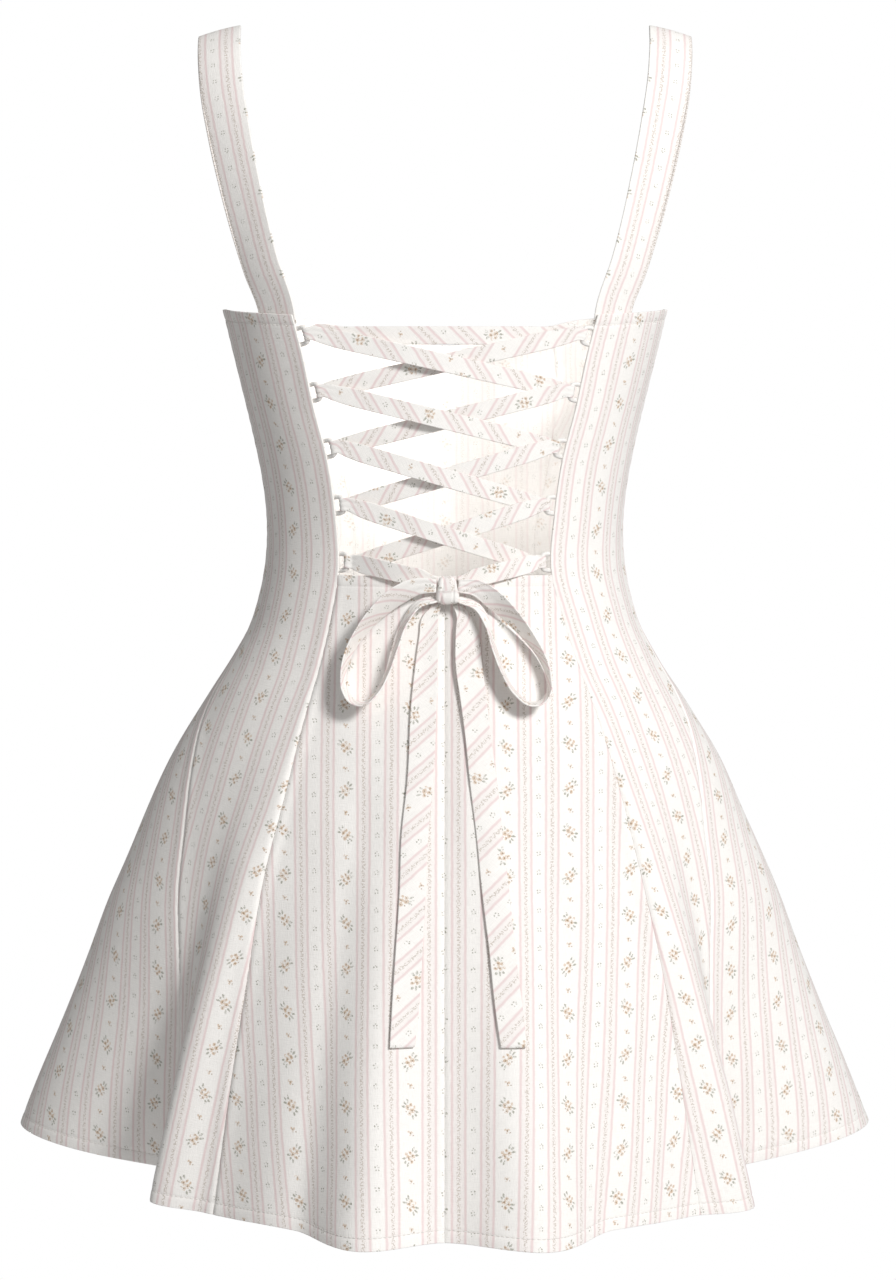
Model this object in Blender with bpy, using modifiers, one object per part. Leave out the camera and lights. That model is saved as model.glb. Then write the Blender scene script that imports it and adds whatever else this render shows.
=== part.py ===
"""Corset dress with an open laced back, modelled piece by piece as it is cut and sewn.

Frame: the origin lies midway between the crests of the two shoulder straps, +Z is up, the
laced back faces -Y and the front faces +Y.  An azimuth is an angle about the vertical axis,
0 at the middle of the back, positive towards +X, 90 at a side and 180 at the middle of the
front.  All lengths are metres and all angles are degrees unless a name says otherwise.
"""
import math

import bmesh
import bpy
import numpy as np

DRESS_NAME = "corset_dress"

# Cloth
WALL = 0.0015
SEAM_GAP = 0.0003
RIBBON_THICKNESS = 0.0010
LACE_WIDTH = 0.0130
LACE_GATHERED = 0.0070

# Nominal heights of the panels' edges
TOP_LEVEL = -0.200
OPENING_FOOT = -0.379
HEM_LEVEL = -0.790
FOLD_START = -0.420
BODICE_ROWS = 8
SKIRT_ROWS = 18

# Rings of the worn form: height, half width, depth of the back, depth of the front
BODY_RINGS = (
    (-0.195, 0.1565, 0.1005, 0.1070),
    (-0.220, 0.1505, 0.0985, 0.1100),
    (-0.243, 0.1447, 0.0970, 0.1120),
    (-0.266, 0.1390, 0.0955, 0.1120),
    (-0.289, 0.1336, 0.0940, 0.1090),
    (-0.311, 0.1290, 0.0920, 0.1040),
    (-0.335, 0.1257, 0.0905, 0.0980),
    (-0.358, 0.1250, 0.0900, 0.0940),
    (-0.378, 0.1267, 0.0915, 0.0955),
    (-0.399, 0.1310, 0.0945, 0.0990),
    (-0.420, 0.1380, 0.0985, 0.1040),
    (-0.437, 0.1475, 0.1030, 0.1100),
    (-0.466, 0.1660, 0.1145, 0.1220),
    (-0.505, 0.1897, 0.1310, 0.1400),
    (-0.555, 0.2130, 0.1520, 0.1620),
    (-0.604, 0.2340, 0.1735, 0.1840),
    (-0.668, 0.2580, 0.2010, 0.2100),
    (-0.737, 0.2867, 0.2260, 0.2360),
    (-0.795, 0.3090, 0.2440, 0.2540),
)

# Ridges and valleys of the skirt: azimuth at the hem on the left and on the right, turn of the
# azimuth towards the middle at the hip, radius at the hem against the ring's, power of growth
FOLDS = (
    (0.0, 0.0, 0.0, 0.951, 1.5),
    (11.7, 12.9, 0.0, 1.043, 1.5),
    (25.0, 28.0, 1.0, 0.915, 1.2),
    (43.0, 45.0, 4.0, 0.860, 1.2),
    (50.8, 53.7, 7.0, 0.900, 1.7),
    (60.0, 61.5, 0.0, 0.710, 1.6),
    (90.0, 90.0, 0.0, 1.000, 1.0),
    (119.0, 120.0, 0.0, 0.780, 1.9),
    (129.0, 129.0, 0.0, 0.920, 0.6),
    (138.0, 137.0, 0.0, 0.865, 0.7),
    (153.0, 152.0, 0.0, 0.920, 1.2),
    (167.0, 168.0, 0.0, 1.035, 1.5),
    (180.0, 180.0, 0.0, 0.965, 1.5),
)

# Free edges: azimuth, height
TOP_EDGE = (
    (0.0, -0.2026),
    (50.0, -0.2026),
    (75.0, -0.1990),
    (90.0, -0.1966),
    (104.0, -0.1990),
    (116.0, -0.2000),
    (132.0, -0.2020),
    (150.0, -0.2110),
    (165.0, -0.2170),
    (180.0, -0.2200),
)
HEM_EDGE = (
    (-180.0, -0.7880),
    (-130.0, -0.7830),
    (-115.0, -0.7760),
    (-90.0, -0.7670),
    (-70.0, -0.7755),
    (-60.0, -0.7790),
    (-52.0, -0.7845),
    (-43.0, -0.7885),
    (-27.0, -0.7885),
    (-19.0, -0.7915),
    (-10.0, -0.7915),
    (0.0, -0.7912),
    (10.0, -0.7915),
    (20.0, -0.7935),
    (28.0, -0.7900),
    (44.0, -0.7915),
    (54.0, -0.7905),
    (61.0, -0.7820),
    (70.0, -0.7765),
    (90.0, -0.7655),
    (115.0, -0.7760),
    (130.0, -0.7830),
    (180.0, -0.7880),
)

# Inner edge of the side back panels, which is the lacing edge down to the foot of the opening
# and the princess seam below it: height, distance from the middle on the left, on the right
BACK_SEAM = (
    (-0.200, 0.1045, 0.1045),
    (-0.226, 0.0977, 0.0977),
    (-0.262, 0.0900, 0.0900),
    (-0.300, 0.0803, 0.0803),
    (-0.338, 0.0748, 0.0748),
    (-0.379, 0.0729, 0.0729),
    (-0.405, 0.0772, 0.0800),
    (-0.438, 0.0845, 0.0905),
    (-0.475, 0.0950, 0.1040),
    (-0.525, 0.1072, 0.1185),
    (-0.575, 0.1198, 0.1305),
    (-0.640, 0.1302, 0.1445),
    (-0.700, 0.1393, 0.1540),
    (-0.790, 0.1510, 0.1672),
)

# Front princess seams: height, distance from the middle
FRONT_SEAM = (
    (-0.200, 0.0800),
    (-0.262, 0.0830),
    (-0.310, 0.0760),
    (-0.360, 0.0660),
    (-0.400, 0.0700),
    (-0.470, 0.0900),
    (-0.550, 0.1100),
    (-0.650, 0.1300),
    (-0.790, 0.1500),
)

# Side seams, which slip back into the valley of the skirt's large fold: height, azimuth
SIDE_SEAM = (
    (-0.200, 86.0),
    (-0.380, 86.0),
    (-0.430, 85.0),
    (-0.469, 82.0),
    (-0.512, 74.0),
    (-0.557, 69.0),
    (-0.600, 66.0),
    (-0.640, 63.0),
    (-0.683, 61.0),
    (-0.790, 60.5),
)

# Bust: azimuth, height and rise of its fullest point, and how far it spreads
BUST_AZIMUTH = 137.0
BUST_HEIGHT = -0.262
BUST_RISE = 0.011
BUST_SPREAD_AZIMUTH = 20.0
BUST_SPREAD_HEIGHT = 0.034

# Shoulder straps: centre line above the bodice and the turn and tilt of the strap's width
STRAP_WIDTH = 0.030
STRAP_TUCK = 0.008
STRAP_BACK_SEAT = 0.0031
STRAP_FRONT_SEAT = 0.0037
STRAP_SAG = 0.0009
STRAP_BACK_FOOT = 0.1170
STRAP_FRONT_FOOT = 0.1256
STRAP_BACK_TURN = 36.0
STRAP_FRONT_TURN = -43.0
STRAP_COLUMNS = 5
STRAP_STEPS = 26
STRAP_ROUTE = (
    (0.1267, -0.0610, -0.1662, 34.0, 0.0),
    (0.1352, -0.0580, -0.1351, 31.0, 1.0),
    (0.1416, -0.0540, -0.1081, 27.0, 3.0),
    (0.1496, -0.0470, -0.0697, 21.0, 6.0),
    (0.1549, -0.0375, -0.0400, 14.0, 11.0),
    (0.1575, -0.0240, -0.0150, 7.0, 14.0),
    (0.1588, 0.0000, 0.0000, 0.0, 15.5),
    (0.1610, 0.0240, -0.0150, -7.0, 14.0),
    (0.1603, 0.0375, -0.0400, -14.0, 11.0),
    (0.1561, 0.0470, -0.0697, -21.0, 6.0),
    (0.1487, 0.0540, -0.1081, -29.0, 3.0),
    (0.1425, 0.0580, -0.1351, -35.0, 1.0),
    (0.1339, 0.0610, -0.1662, -40.0, 0.0),
)

# Lacing loops: a cord bent to a D that stands off the lacing edge
LOOPS_PER_SIDE = 5
FIRST_LOOP = -0.2170
LOOP_PITCH = 0.0383
LOOP_RADIUS = 0.0011
LOOP_REACH = 0.0060
LOOP_STRAND_DEPTH = 0.0017
LOOP_ROOT_DEPTH = WALL + SEAM_GAP + LOOP_RADIUS
LOOP_HALF_HEIGHT = 0.0056

# Lacing: the ribbon's centre runs this far from the middle of a loop's strand
LACE_WRAP = LOOP_RADIUS + SEAM_GAP + RIBBON_THICKNESS / 2
LACE_BULGE = 0.009
LACE_LEAN = 0.15
LACE_END_BULGE = 0.0045
CROSSING_FRONT = 0.0044
CROSSING_BACK = -0.0012
LACE_RUN_STEPS = 10
LACE_START = 0.0012
LACE_FINISH = 0.0017

# Bow knot: centre across and up, half sizes, and its stand-off from the cloth behind
KNOT_X = 0.0017
KNOT_Z = -0.3878
KNOT_HALF = (0.0071, 0.0056, 0.0097)
KNOT_ROUNDING = 0.003
KNOT_CLEARANCE = 0.0006
LACE_END_Z = -0.3822
LACE_END_WIDTH = 0.0065

# Bow loops from the knot's front round to its back: across, height, turn of the ribbon's width
# out of the view from the back, width, stand-off of the centre line from the cloth behind
BOW_LEFT = (
    (-0.0059, -0.3850, 0.0, 0.0080, 0.0105),
    (-0.0174, -0.3850, 12.0, 0.0110, 0.0108),
    (-0.0315, -0.3912, 32.0, 0.0150, 0.0112),
    (-0.0449, -0.4022, 48.0, 0.0160, 0.0112),
    (-0.0569, -0.4162, 62.0, 0.0160, 0.0112),
    (-0.0649, -0.4303, 72.0, 0.0160, 0.0112),
    (-0.0682, -0.4438, 80.0, 0.0160, 0.0112),
    (-0.0668, -0.4550, 85.0, 0.0160, 0.0112),
    (-0.0607, -0.4616, 86.0, 0.0160, 0.0112),
    (-0.0541, -0.4623, 86.0, 0.0160, 0.0112),
    (-0.0454, -0.4550, 85.0, 0.0160, 0.0112),
    (-0.0381, -0.4418, 84.0, 0.0160, 0.0112),
    (-0.0328, -0.4259, 80.0, 0.0150, 0.0108),
    (-0.0265, -0.4090, 74.0, 0.0120, 0.0092),
    (-0.0170, -0.3968, 62.0, 0.0090, 0.0078),
    (-0.0059, -0.3938, 50.0, 0.0060, 0.0070),
)
BOW_RIGHT = (
    (0.0093, -0.3850, 0.0, 0.0080, 0.0105),
    (0.0208, -0.3862, 12.0, 0.0110, 0.0108),
    (0.0328, -0.3940, 32.0, 0.0150, 0.0112),
    (0.0455, -0.4062, 48.0, 0.0160, 0.0112),
    (0.0569, -0.4198, 62.0, 0.0160, 0.0112),
    (0.0649, -0.4319, 72.0, 0.0160, 0.0112),
    (0.0695, -0.4444, 80.0, 0.0160, 0.0112),
    (0.0695, -0.4550, 85.0, 0.0160, 0.0112),
    (0.0641, -0.4616, 86.0, 0.0160, 0.0112),
    (0.0561, -0.4623, 86.0, 0.0160, 0.0112),
    (0.0467, -0.4550, 85.0, 0.0160, 0.0112),
    (0.0388, -0.4418, 84.0, 0.0160, 0.0112),
    (0.0330, -0.4259, 80.0, 0.0150, 0.0108),
    (0.0288, -0.4107, 74.0, 0.0120, 0.0092),
    (0.0212, -0.3984, 62.0, 0.0090, 0.0078),
    (0.0093, -0.3938, 50.0, 0.0060, 0.0070),
)
BOW_STEPS = 26

# Hanging ends of the lace: height, left edge, right edge
TAIL_STANDOFF = 0.0020
TAIL_STEPS = 22
TAIL_LEFT = (
    (-0.3980, -0.0075, -0.0020),
    (-0.4050, -0.0140, -0.0045),
    (-0.4195, -0.0168, -0.0047),
    (-0.4384, -0.0194, -0.0050),
    (-0.4624, -0.0220, -0.0057),
    (-0.5108, -0.0244, -0.0079),
    (-0.5463, -0.0282, -0.0112),
    (-0.5818, -0.0293, -0.0130),
    (-0.6164, -0.0316, -0.0149),
    (-0.6500, -0.0338, -0.0173),
    (-0.6738, -0.0351, -0.0198),
)
TAIL_RIGHT = (
    (-0.3980, 0.0050, 0.0105),
    (-0.4050, 0.0078, 0.0165),
    (-0.4156, 0.0074, 0.0215),
    (-0.4384, 0.0073, 0.0245),
    (-0.4624, 0.0107, 0.0275),
    (-0.4860, 0.0139, 0.0302),
    (-0.5108, 0.0165, 0.0337),
    (-0.5463, 0.0210, 0.0375),
    (-0.5818, 0.0247, 0.0415),
    (-0.6164, 0.0291, 0.0448),
    (-0.6500, 0.0327, 0.0490),
    (-0.6738, 0.0362, 0.0517),
)

# Colours, linear
COTTON = (0.86, 0.82, 0.78)
RIBBON = (0.84, 0.79, 0.75)
CORD = (0.87, 0.84, 0.80)


def smooth_table(rows, column, at):
    """Read a column of a table at some values of its first column, by smooth cubic pieces."""
    keys = np.array([row[0] for row in rows])
    values = np.array([row[column] for row in rows])
    if keys[0] > keys[-1]:
        keys = keys[::-1]
        values = values[::-1]
    slopes = np.gradient(values, keys)
    at = np.clip(at, keys[0], keys[-1])
    left = np.clip(np.searchsorted(keys, at) - 1, 0, len(keys) - 2)
    span = keys[left + 1] - keys[left]
    t = (at - keys[left]) / span
    rise = values[left] * (1 + 2 * t) * (1 - t) ** 2 + values[left + 1] * t * t * (3 - 2 * t)
    bend = slopes[left] * t * (1 - t) ** 2 - slopes[left + 1] * t * t * (1 - t)
    return rise + span * bend


def fold_ratio(azimuth, height):
    """Radius of the folded skirt against its ring's, easing between each ridge and valley."""
    growth = np.clip((FOLD_START - height) / (FOLD_START - HEM_LEVEL), 0.0, 1.05)
    turn = np.abs(azimuth)
    ratio = np.ones_like(turn)
    for near, far in zip(FOLDS[:-1], FOLDS[1:]):
        start = np.where(azimuth < 0, near[0], near[1]) - near[2] * (1 - growth)
        end = np.where(azimuth < 0, far[0], far[1]) - far[2] * (1 - growth)
        inside = (turn >= start) & (turn <= end)
        t = np.clip((turn - start) / (end - start), 0.0, 1.0)
        ease = t * t * (3 - 2 * t)
        near_value = (near[3] - 1) * growth ** near[4]
        far_value = (far[3] - 1) * growth ** far[4]
        ratio = np.where(inside, 1 + near_value + (far_value - near_value) * ease, ratio)
    return ratio


def cloth_point(azimuth, height):
    """Points on the outer face of the dress at some azimuths and heights."""
    azimuth, height = np.broadcast_arrays(np.asarray(azimuth, float), np.asarray(height, float))
    azimuth = (azimuth + 180.0) % 360.0 - 180.0
    sine = np.sin(np.radians(azimuth))
    cosine = np.cos(np.radians(azimuth))
    half_width = smooth_table(BODY_RINGS, 1, height)
    depth = np.where(cosine > 0, smooth_table(BODY_RINGS, 2, height), smooth_table(BODY_RINGS, 3, height))
    radius = 1 / np.sqrt((sine / half_width) ** 2 + (cosine / depth) ** 2)
    across = (np.abs(azimuth) - BUST_AZIMUTH) / BUST_SPREAD_AZIMUTH
    up = (height - BUST_HEIGHT) / BUST_SPREAD_HEIGHT
    radius = radius * fold_ratio(azimuth, height) + BUST_RISE * np.exp(-across ** 2 - up ** 2)
    return np.stack([radius * sine, -radius * cosine, height], axis=-1)


def unit(vector):
    """Vectors of length one in the directions given."""
    return vector / np.linalg.norm(vector, axis=-1, keepdims=True)


def cloth_normal(azimuth, height):
    """Outward normals of the outer face."""
    azimuth, height = np.broadcast_arrays(np.asarray(azimuth, float), np.asarray(height, float))
    around = cloth_point(azimuth + 0.05, height) - cloth_point(azimuth - 0.05, height)
    upward = cloth_point(azimuth, height + 0.0005) - cloth_point(azimuth, height - 0.0005)
    return unit(np.cross(around, upward))


def azimuth_at(across, height):
    """Azimuth of the back's face at a signed distance across from the middle."""
    limit = 85.0 if height > FOLD_START else 51.0
    turns = np.linspace(0.0, limit, 120)
    signed = turns * (-1 if across < 0 else 1)
    reach = np.abs(cloth_point(signed, height)[..., 0])
    return math.copysign(float(np.interp(abs(across), reach, turns)), across)


def nominal_height(level):
    """Height of a level: 0 is the top edge, 1 the foot of the opening, 2 the hem."""
    if level <= 1:
        return TOP_LEVEL + (OPENING_FOOT - TOP_LEVEL) * level
    return OPENING_FOOT + (HEM_LEVEL - OPENING_FOOT) * (level - 1)


def level_height(level, azimuth):
    """Height of a level where the top edge and the hem rise and fall round the dress."""
    azimuth = (np.asarray(azimuth, float) + 180.0) % 360.0 - 180.0
    if level <= 1:
        top = smooth_table(TOP_EDGE, 1, np.abs(azimuth))
        return top + (OPENING_FOOT - top) * level
    hem = smooth_table(HEM_EDGE, 1, azimuth)
    return OPENING_FOOT + (hem - OPENING_FOOT) * (level - 1)


def back_middle(side, level):
    """Seam down the middle of the skirt's back."""
    return 0.0


def back_seam(side, level):
    """Lacing edge and princess seam of the back."""
    height = nominal_height(level)
    across = float(smooth_table(BACK_SEAM, 1 if side < 0 else 2, height))
    return azimuth_at(side * across, height)


def side_seam(side, level):
    """Side seam."""
    return side * float(smooth_table(SIDE_SEAM, 1, nominal_height(level)))


def front_seam(side, level):
    """Princess seam of the front."""
    height = nominal_height(level)
    across = float(smooth_table(FRONT_SEAM, 1, height))
    turns = np.linspace(180.0, 130.0, 100)
    reach = np.abs(cloth_point(side * turns, height)[..., 0])
    return side * float(np.interp(across, reach, turns))


def set_in(azimuth, level, towards):
    """Move an edge by half a seam gap, measured along the cloth, towards its own panel."""
    height = level_height(level, azimuth)
    pace = np.linalg.norm(cloth_point(azimuth + 0.1, height) - cloth_point(azimuth - 0.1, height)) / 0.2
    return azimuth + towards * SEAM_GAP / 2 / pace


def panel_levels(first, last):
    """Levels of a panel's rows, the same for all panels so that seams match."""
    bodice = np.linspace(0.0, 1.0, BODICE_ROWS + 1)
    skirt = np.linspace(1.0, 2.0, SKIRT_ROWS + 1)[1:]
    return [level for level in (*bodice, *skirt) if first <= level <= last]


def panel_grids(start, end, columns, first=0.0, last=2.0):
    """Outer and inner faces of a panel between two edges given as functions of the level."""
    outer = []
    inner = []
    for level in panel_levels(first, last):
        low = start(level)
        high = end(level)
        azimuth = np.linspace(set_in(low, level, 1), set_in(high, level, -1), columns)
        height = level_height(level, azimuth)
        face = cloth_point(azimuth, height)
        outer.append(face)
        inner.append(face - WALL * cloth_normal(azimuth, height))
    return np.array(outer), np.array(inner)


def cloth_material(name, colour, roughness):
    """Plain material of one piece of cloth."""
    material = bpy.data.materials.new(name)
    material.use_nodes = True
    shader = material.node_tree.nodes["Principled BSDF"]
    shader.inputs["Base Color"].default_value = (*colour, 1.0)
    shader.inputs["Roughness"].default_value = roughness
    shader.inputs["Metallic"].default_value = 0.0
    material.diffuse_color = (*colour, 1.0)
    return material


def add_object(collection, name, data, colour, roughness=0.9):
    """Link a mesh or curve to the dress under a name, with its own material."""
    data.materials.append(cloth_material(name, colour, roughness))
    item = bpy.data.objects.new(name, data)
    collection.objects.link(item)
    return item


def grid_faces(rows, columns, offset=0):
    """Four-sided faces of a grid of points."""
    corner = offset + np.arange(rows - 1)[:, None] * columns + np.arange(columns - 1)[None, :]
    faces = np.stack([corner, corner + columns, corner + columns + 1, corner + 1], axis=-1)
    return faces.reshape(-1, 4).tolist()


def add_panel(collection, name, grids, colour=COTTON):
    """A closed panel from its outer and inner faces, joined round all four edges."""
    outer, inner = grids
    rows, columns = outer.shape[:2]
    count = rows * columns
    faces = grid_faces(rows, columns)
    faces += [face[::-1] for face in grid_faces(rows, columns, count)]
    index = np.arange(count).reshape(rows, columns)
    rim = [*index[0], *index[1:, -1], *index[-1, -2::-1], *index[-2:0:-1, 0]]
    for here, there in zip(rim, rim[1:] + rim[:1]):
        faces.append([int(here), int(there), int(there) + count, int(here) + count])
    mesh = bpy.data.meshes.new(name)
    mesh.from_pydata(np.concatenate([outer.reshape(-1, 3), inner.reshape(-1, 3)]).tolist(), [], faces)
    shape = bmesh.new()
    shape.from_mesh(mesh)
    bmesh.ops.recalc_face_normals(shape, faces=shape.faces)
    shape.to_mesh(mesh)
    shape.free()
    return add_object(collection, name, mesh, colour)


def add_sheet(collection, name, grid, thickness, colour):
    """A thin closed sheet from an open surface, thickened evenly to both sides."""
    rows, columns = grid.shape[:2]
    mesh = bpy.data.meshes.new(name)
    mesh.from_pydata(grid.reshape(-1, 3).tolist(), [], grid_faces(rows, columns))
    item = add_object(collection, name, mesh, colour)
    solid = item.modifiers.new("thickness", "SOLIDIFY")
    solid.thickness = thickness
    solid.offset = 0.0
    return item


def add_tube(collection, name, points, radius, colour):
    """A round cord along points, with closed ends."""
    curve = bpy.data.curves.new(name, "CURVE")
    curve.dimensions = "3D"
    curve.bevel_depth = radius
    curve.bevel_resolution = 1
    curve.use_fill_caps = True
    spline = curve.splines.new("POLY")
    spline.points.add(len(points) - 1)
    for target, point in zip(spline.points, points):
        target.co = (*point, 1.0)
    return add_object(collection, name, curve, colour)


def resample(points, steps):
    """Rows read evenly along a smooth curve through the rows given, by distance in space."""
    points = np.asarray(points, float)
    lengths = np.linalg.norm(np.diff(points[:, :3], axis=0), axis=1)
    along = np.concatenate([[0.0], np.cumsum(lengths)])
    wanted = np.linspace(0.0, along[-1], steps + 1)
    columns = []
    for column in range(points.shape[1]):
        rows = list(zip(along, points[:, column]))
        columns.append(smooth_table(rows, 1, wanted))
    return np.stack(columns, axis=-1)


def ribbon_grid(path, across, widths, columns=3, sag=0.0):
    """Surface of a ribbon along a path, with its width square to the path.

    The ribbon's edges sag by the given distance to the inner side, which is the side that the
    cross product of the direction of travel and the width points to.
    """
    travel = unit(np.gradient(path, axis=0))
    along_width = across - np.sum(across * travel, axis=1, keepdims=True) * travel
    along_width = unit(along_width)
    inward = np.cross(travel, along_width)
    place = np.linspace(-0.5, 0.5, columns)[None, :, None]
    reach = along_width[:, None, :] * place * np.asarray(widths)[:, None, None]
    return path[:, None, :] + reach + inward[:, None, :] * sag * (2 * place) ** 2


def build_panels(collection):
    """Cut panels of the bodice and the skirt."""
    for side, word in ((-1, "left"), (1, "right")):
        edges = {
            "back_centre": (back_middle, back_seam, 12, 1.0),
            "back_side": (back_seam, side_seam, 10, 0.0),
            "side_front": (side_seam, front_seam, 13, 0.0),
        }
        for name, (start, end, columns, first) in edges.items():
            low, high = (start, end) if side > 0 else (end, start)
            grids = panel_grids(
                lambda level: low(side, level), lambda level: high(side, level), columns, first
            )
            add_panel(collection, f"{name}_{word}", grids)
    grids = panel_grids(lambda level: front_seam(1, level), lambda level: front_seam(-1, level) + 360.0, 19)
    add_panel(collection, "front_centre", grids)


def strap_foot(across, front):
    """Azimuth and heights of a strap's foot inside the top edge of the bodice."""
    turns = np.linspace(0.0, 89.0, 200)
    turns = 180.0 - turns if front else turns
    height = level_height(0.0, turns)
    reach = cloth_point(turns, height)[..., 0]
    azimuth = float(np.interp(across, reach, turns))
    top = float(level_height(0.0, azimuth))
    seat = STRAP_FRONT_SEAT if front else STRAP_BACK_SEAT
    turn = STRAP_FRONT_TURN if front else STRAP_BACK_TURN
    rows = []
    for drop in (0.0, STRAP_TUCK / 2, STRAP_TUCK):
        point = cloth_point(azimuth, top - drop) - seat * cloth_normal(azimuth, top - drop)
        rows.append((*point, turn, 0.0))
    return rows


def build_straps(collection):
    """Shoulder straps, each tucked inside the bodice at the back and at the front."""
    back = strap_foot(STRAP_BACK_FOOT, False)[::-1]
    front = strap_foot(STRAP_FRONT_FOOT, True)
    route = resample([*back, *STRAP_ROUTE, *front], STRAP_STEPS)
    turn = np.radians(route[:, 3])
    tilt = np.radians(route[:, 4])
    across = np.stack([np.cos(turn) * np.cos(tilt), np.sin(turn) * np.cos(tilt), -np.sin(tilt)], axis=1)
    widths = np.full(len(route), STRAP_WIDTH)
    grid = ribbon_grid(route[:, :3], across, widths, STRAP_COLUMNS, STRAP_SAG)
    for side, word in ((-1, "left"), (1, "right")):
        add_sheet(collection, f"strap_{word}", grid * np.array([side, 1.0, 1.0]), WALL, COTTON)


def edge_frame(side, height):
    """Point on the lacing edge, and directions towards the middle, outward and up the edge."""
    def edge_point(level_z):
        across = float(smooth_table(BACK_SEAM, 1, level_z))
        return cloth_point(azimuth_at(side * across, level_z), level_z)

    point = edge_point(height)
    up = unit(edge_point(height + 0.002) - edge_point(height - 0.002))
    normal = cloth_normal(azimuth_at(point[0], height), height)
    normal = unit(normal - np.dot(normal, up) * up)
    inward = np.cross(up, normal) * -side
    return point, inward, normal, up


def loop_height(index):
    """Height of a loop's middle, counted from the top."""
    return FIRST_LOOP - LOOP_PITCH * index


def loop_strand(side, index):
    """Middle of the strand of a loop that the lace goes round, and the strand's direction."""
    point, inward, normal, up = edge_frame(side, loop_height(index))
    return point + LOOP_REACH * inward - LOOP_STRAND_DEPTH * normal, up


def build_loops(collection):
    """Cord loops down both lacing edges, with their legs tucked inside the panel."""
    legs = (
        (-0.0038, LOOP_ROOT_DEPTH, LOOP_HALF_HEIGHT),
        (-0.0006, LOOP_ROOT_DEPTH, LOOP_HALF_HEIGHT),
        (0.0030, 0.0022, LOOP_HALF_HEIGHT - 0.0001),
        (0.0052, 0.0018, LOOP_HALF_HEIGHT - 0.0007),
        (LOOP_REACH, LOOP_STRAND_DEPTH, LOOP_HALF_HEIGHT - 0.0018),
    )
    mirrored = [(inward, depth, -height) for inward, depth, height in reversed(legs)]
    outline = [*legs, (LOOP_REACH, LOOP_STRAND_DEPTH, 0.0), *mirrored]
    for side, word in ((-1, "left"), (1, "right")):
        for index in range(LOOPS_PER_SIDE):
            point, inward, normal, up = edge_frame(side, loop_height(index))
            points = [point + a * inward - b * normal + c * up for a, b, c in outline]
            add_tube(collection, f"lace_loop_{word}_{index + 1}", points, LOOP_RADIUS, CORD)


def strand_frame(side, index):
    """Middle of a strand, direction across the opening square to it, outward and up."""
    centre, up = loop_strand(side, index)
    away = np.array([-side, -LACE_LEAN, 0.0])
    towards = unit(away - np.dot(away, up) * up)
    return centre, towards, np.cross(up, towards) * side, up


def wrap_rows(side, index):
    """Start of a run: from behind the strand, round its outer side, to its front."""
    centre, towards, outward, up = strand_frame(side, index)
    rows = [(centre + LACE_START * towards - LACE_WRAP * outward, up, LACE_GATHERED)]
    for turn in range(-90, 91, 30):
        angle = math.radians(turn)
        place = -math.cos(angle) * towards + math.sin(angle) * outward
        rows.append((centre + LACE_WRAP * place, up, LACE_GATHERED))
    rows.append((centre + 0.0035 * towards + LACE_WRAP * outward, up, LACE_GATHERED + 0.0008))
    return rows


def incoming_rows(side, index):
    """End of a run, behind the strand and just short of the next run's start."""
    centre, towards, outward, up = strand_frame(side, index)
    return [
        (centre + 0.0080 * towards - LACE_WRAP * outward, up, LACE_GATHERED + 0.0020),
        (centre + LACE_FINISH * towards - LACE_WRAP * outward, up, LACE_GATHERED),
    ]


def straight_rows(start, end, bulge, lift, widest):
    """Free part of a run between two rows, bulged outward, lifted at its middle crossing."""
    rows = []
    travel = unit(end[0] - start[0])
    upright = np.array([0.0, 0.0, 1.0])
    square = unit(upright - np.dot(upright, travel) * travel)
    for t in np.linspace(0.0, 1.0, LACE_RUN_STEPS + 1)[1:-1]:
        middle = math.sin(math.pi * t)
        place = start[0] + (end[0] - start[0]) * t
        place = place + np.array([0.0, -1.0, 0.0]) * (bulge * middle + lift * middle ** 2)
        fullness = min(1.0, 4.5 * t, 4.5 * (1 - t))
        across = unit(square * fullness + (start[1] * (1 - t) + end[1] * t) * (1 - fullness))
        narrow = start[2] * (1 - t) + end[2] * t
        rows.append((place, across, narrow + (widest - narrow) * fullness))
    return rows


def add_lace(collection, name, rows):
    """One run of the lace from its rows: place, direction of its width, width."""
    path = np.array([row[0] for row in rows])
    across = np.array([row[1] for row in rows])
    widths = np.array([row[2] for row in rows])
    add_sheet(collection, name, ribbon_grid(path, across, widths, 3), RIBBON_THICKNESS, RIBBON)


def build_lacing(collection):
    """Top run and the crossed runs between neighbouring loops."""
    ends = [incoming_rows(side, 0) for side in (-1, 1)]
    first = ends[0][::-1]
    last = ends[1]
    rows = [*first, *straight_rows(first[-1], last[0], LACE_BULGE, 0.0, LACE_WIDTH), *last]
    add_lace(collection, "lace_top", rows)
    for side, word, lift in ((-1, "down_right", CROSSING_FRONT), (1, "down_left", CROSSING_BACK)):
        for index in range(LOOPS_PER_SIDE - 1):
            first = wrap_rows(side, index)
            last = incoming_rows(-side, index + 1)
            middle = straight_rows(first[-1], last[0], LACE_BULGE, lift, LACE_WIDTH)
            add_lace(collection, f"lace_{word}_{index + 1}", [*first, *middle, *last])


def cloth_depth(across, height):
    """Y of the back's outer face at a distance across and a height."""
    return float(cloth_point(azimuth_at(across, height), height)[1])


def knot_centre():
    """Middle of the bow's knot, standing clear of the cloth behind it."""
    back = cloth_depth(KNOT_X, KNOT_Z - KNOT_HALF[2]) - KNOT_CLEARANCE
    return np.array([KNOT_X, back - KNOT_HALF[1], KNOT_Z])


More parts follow.
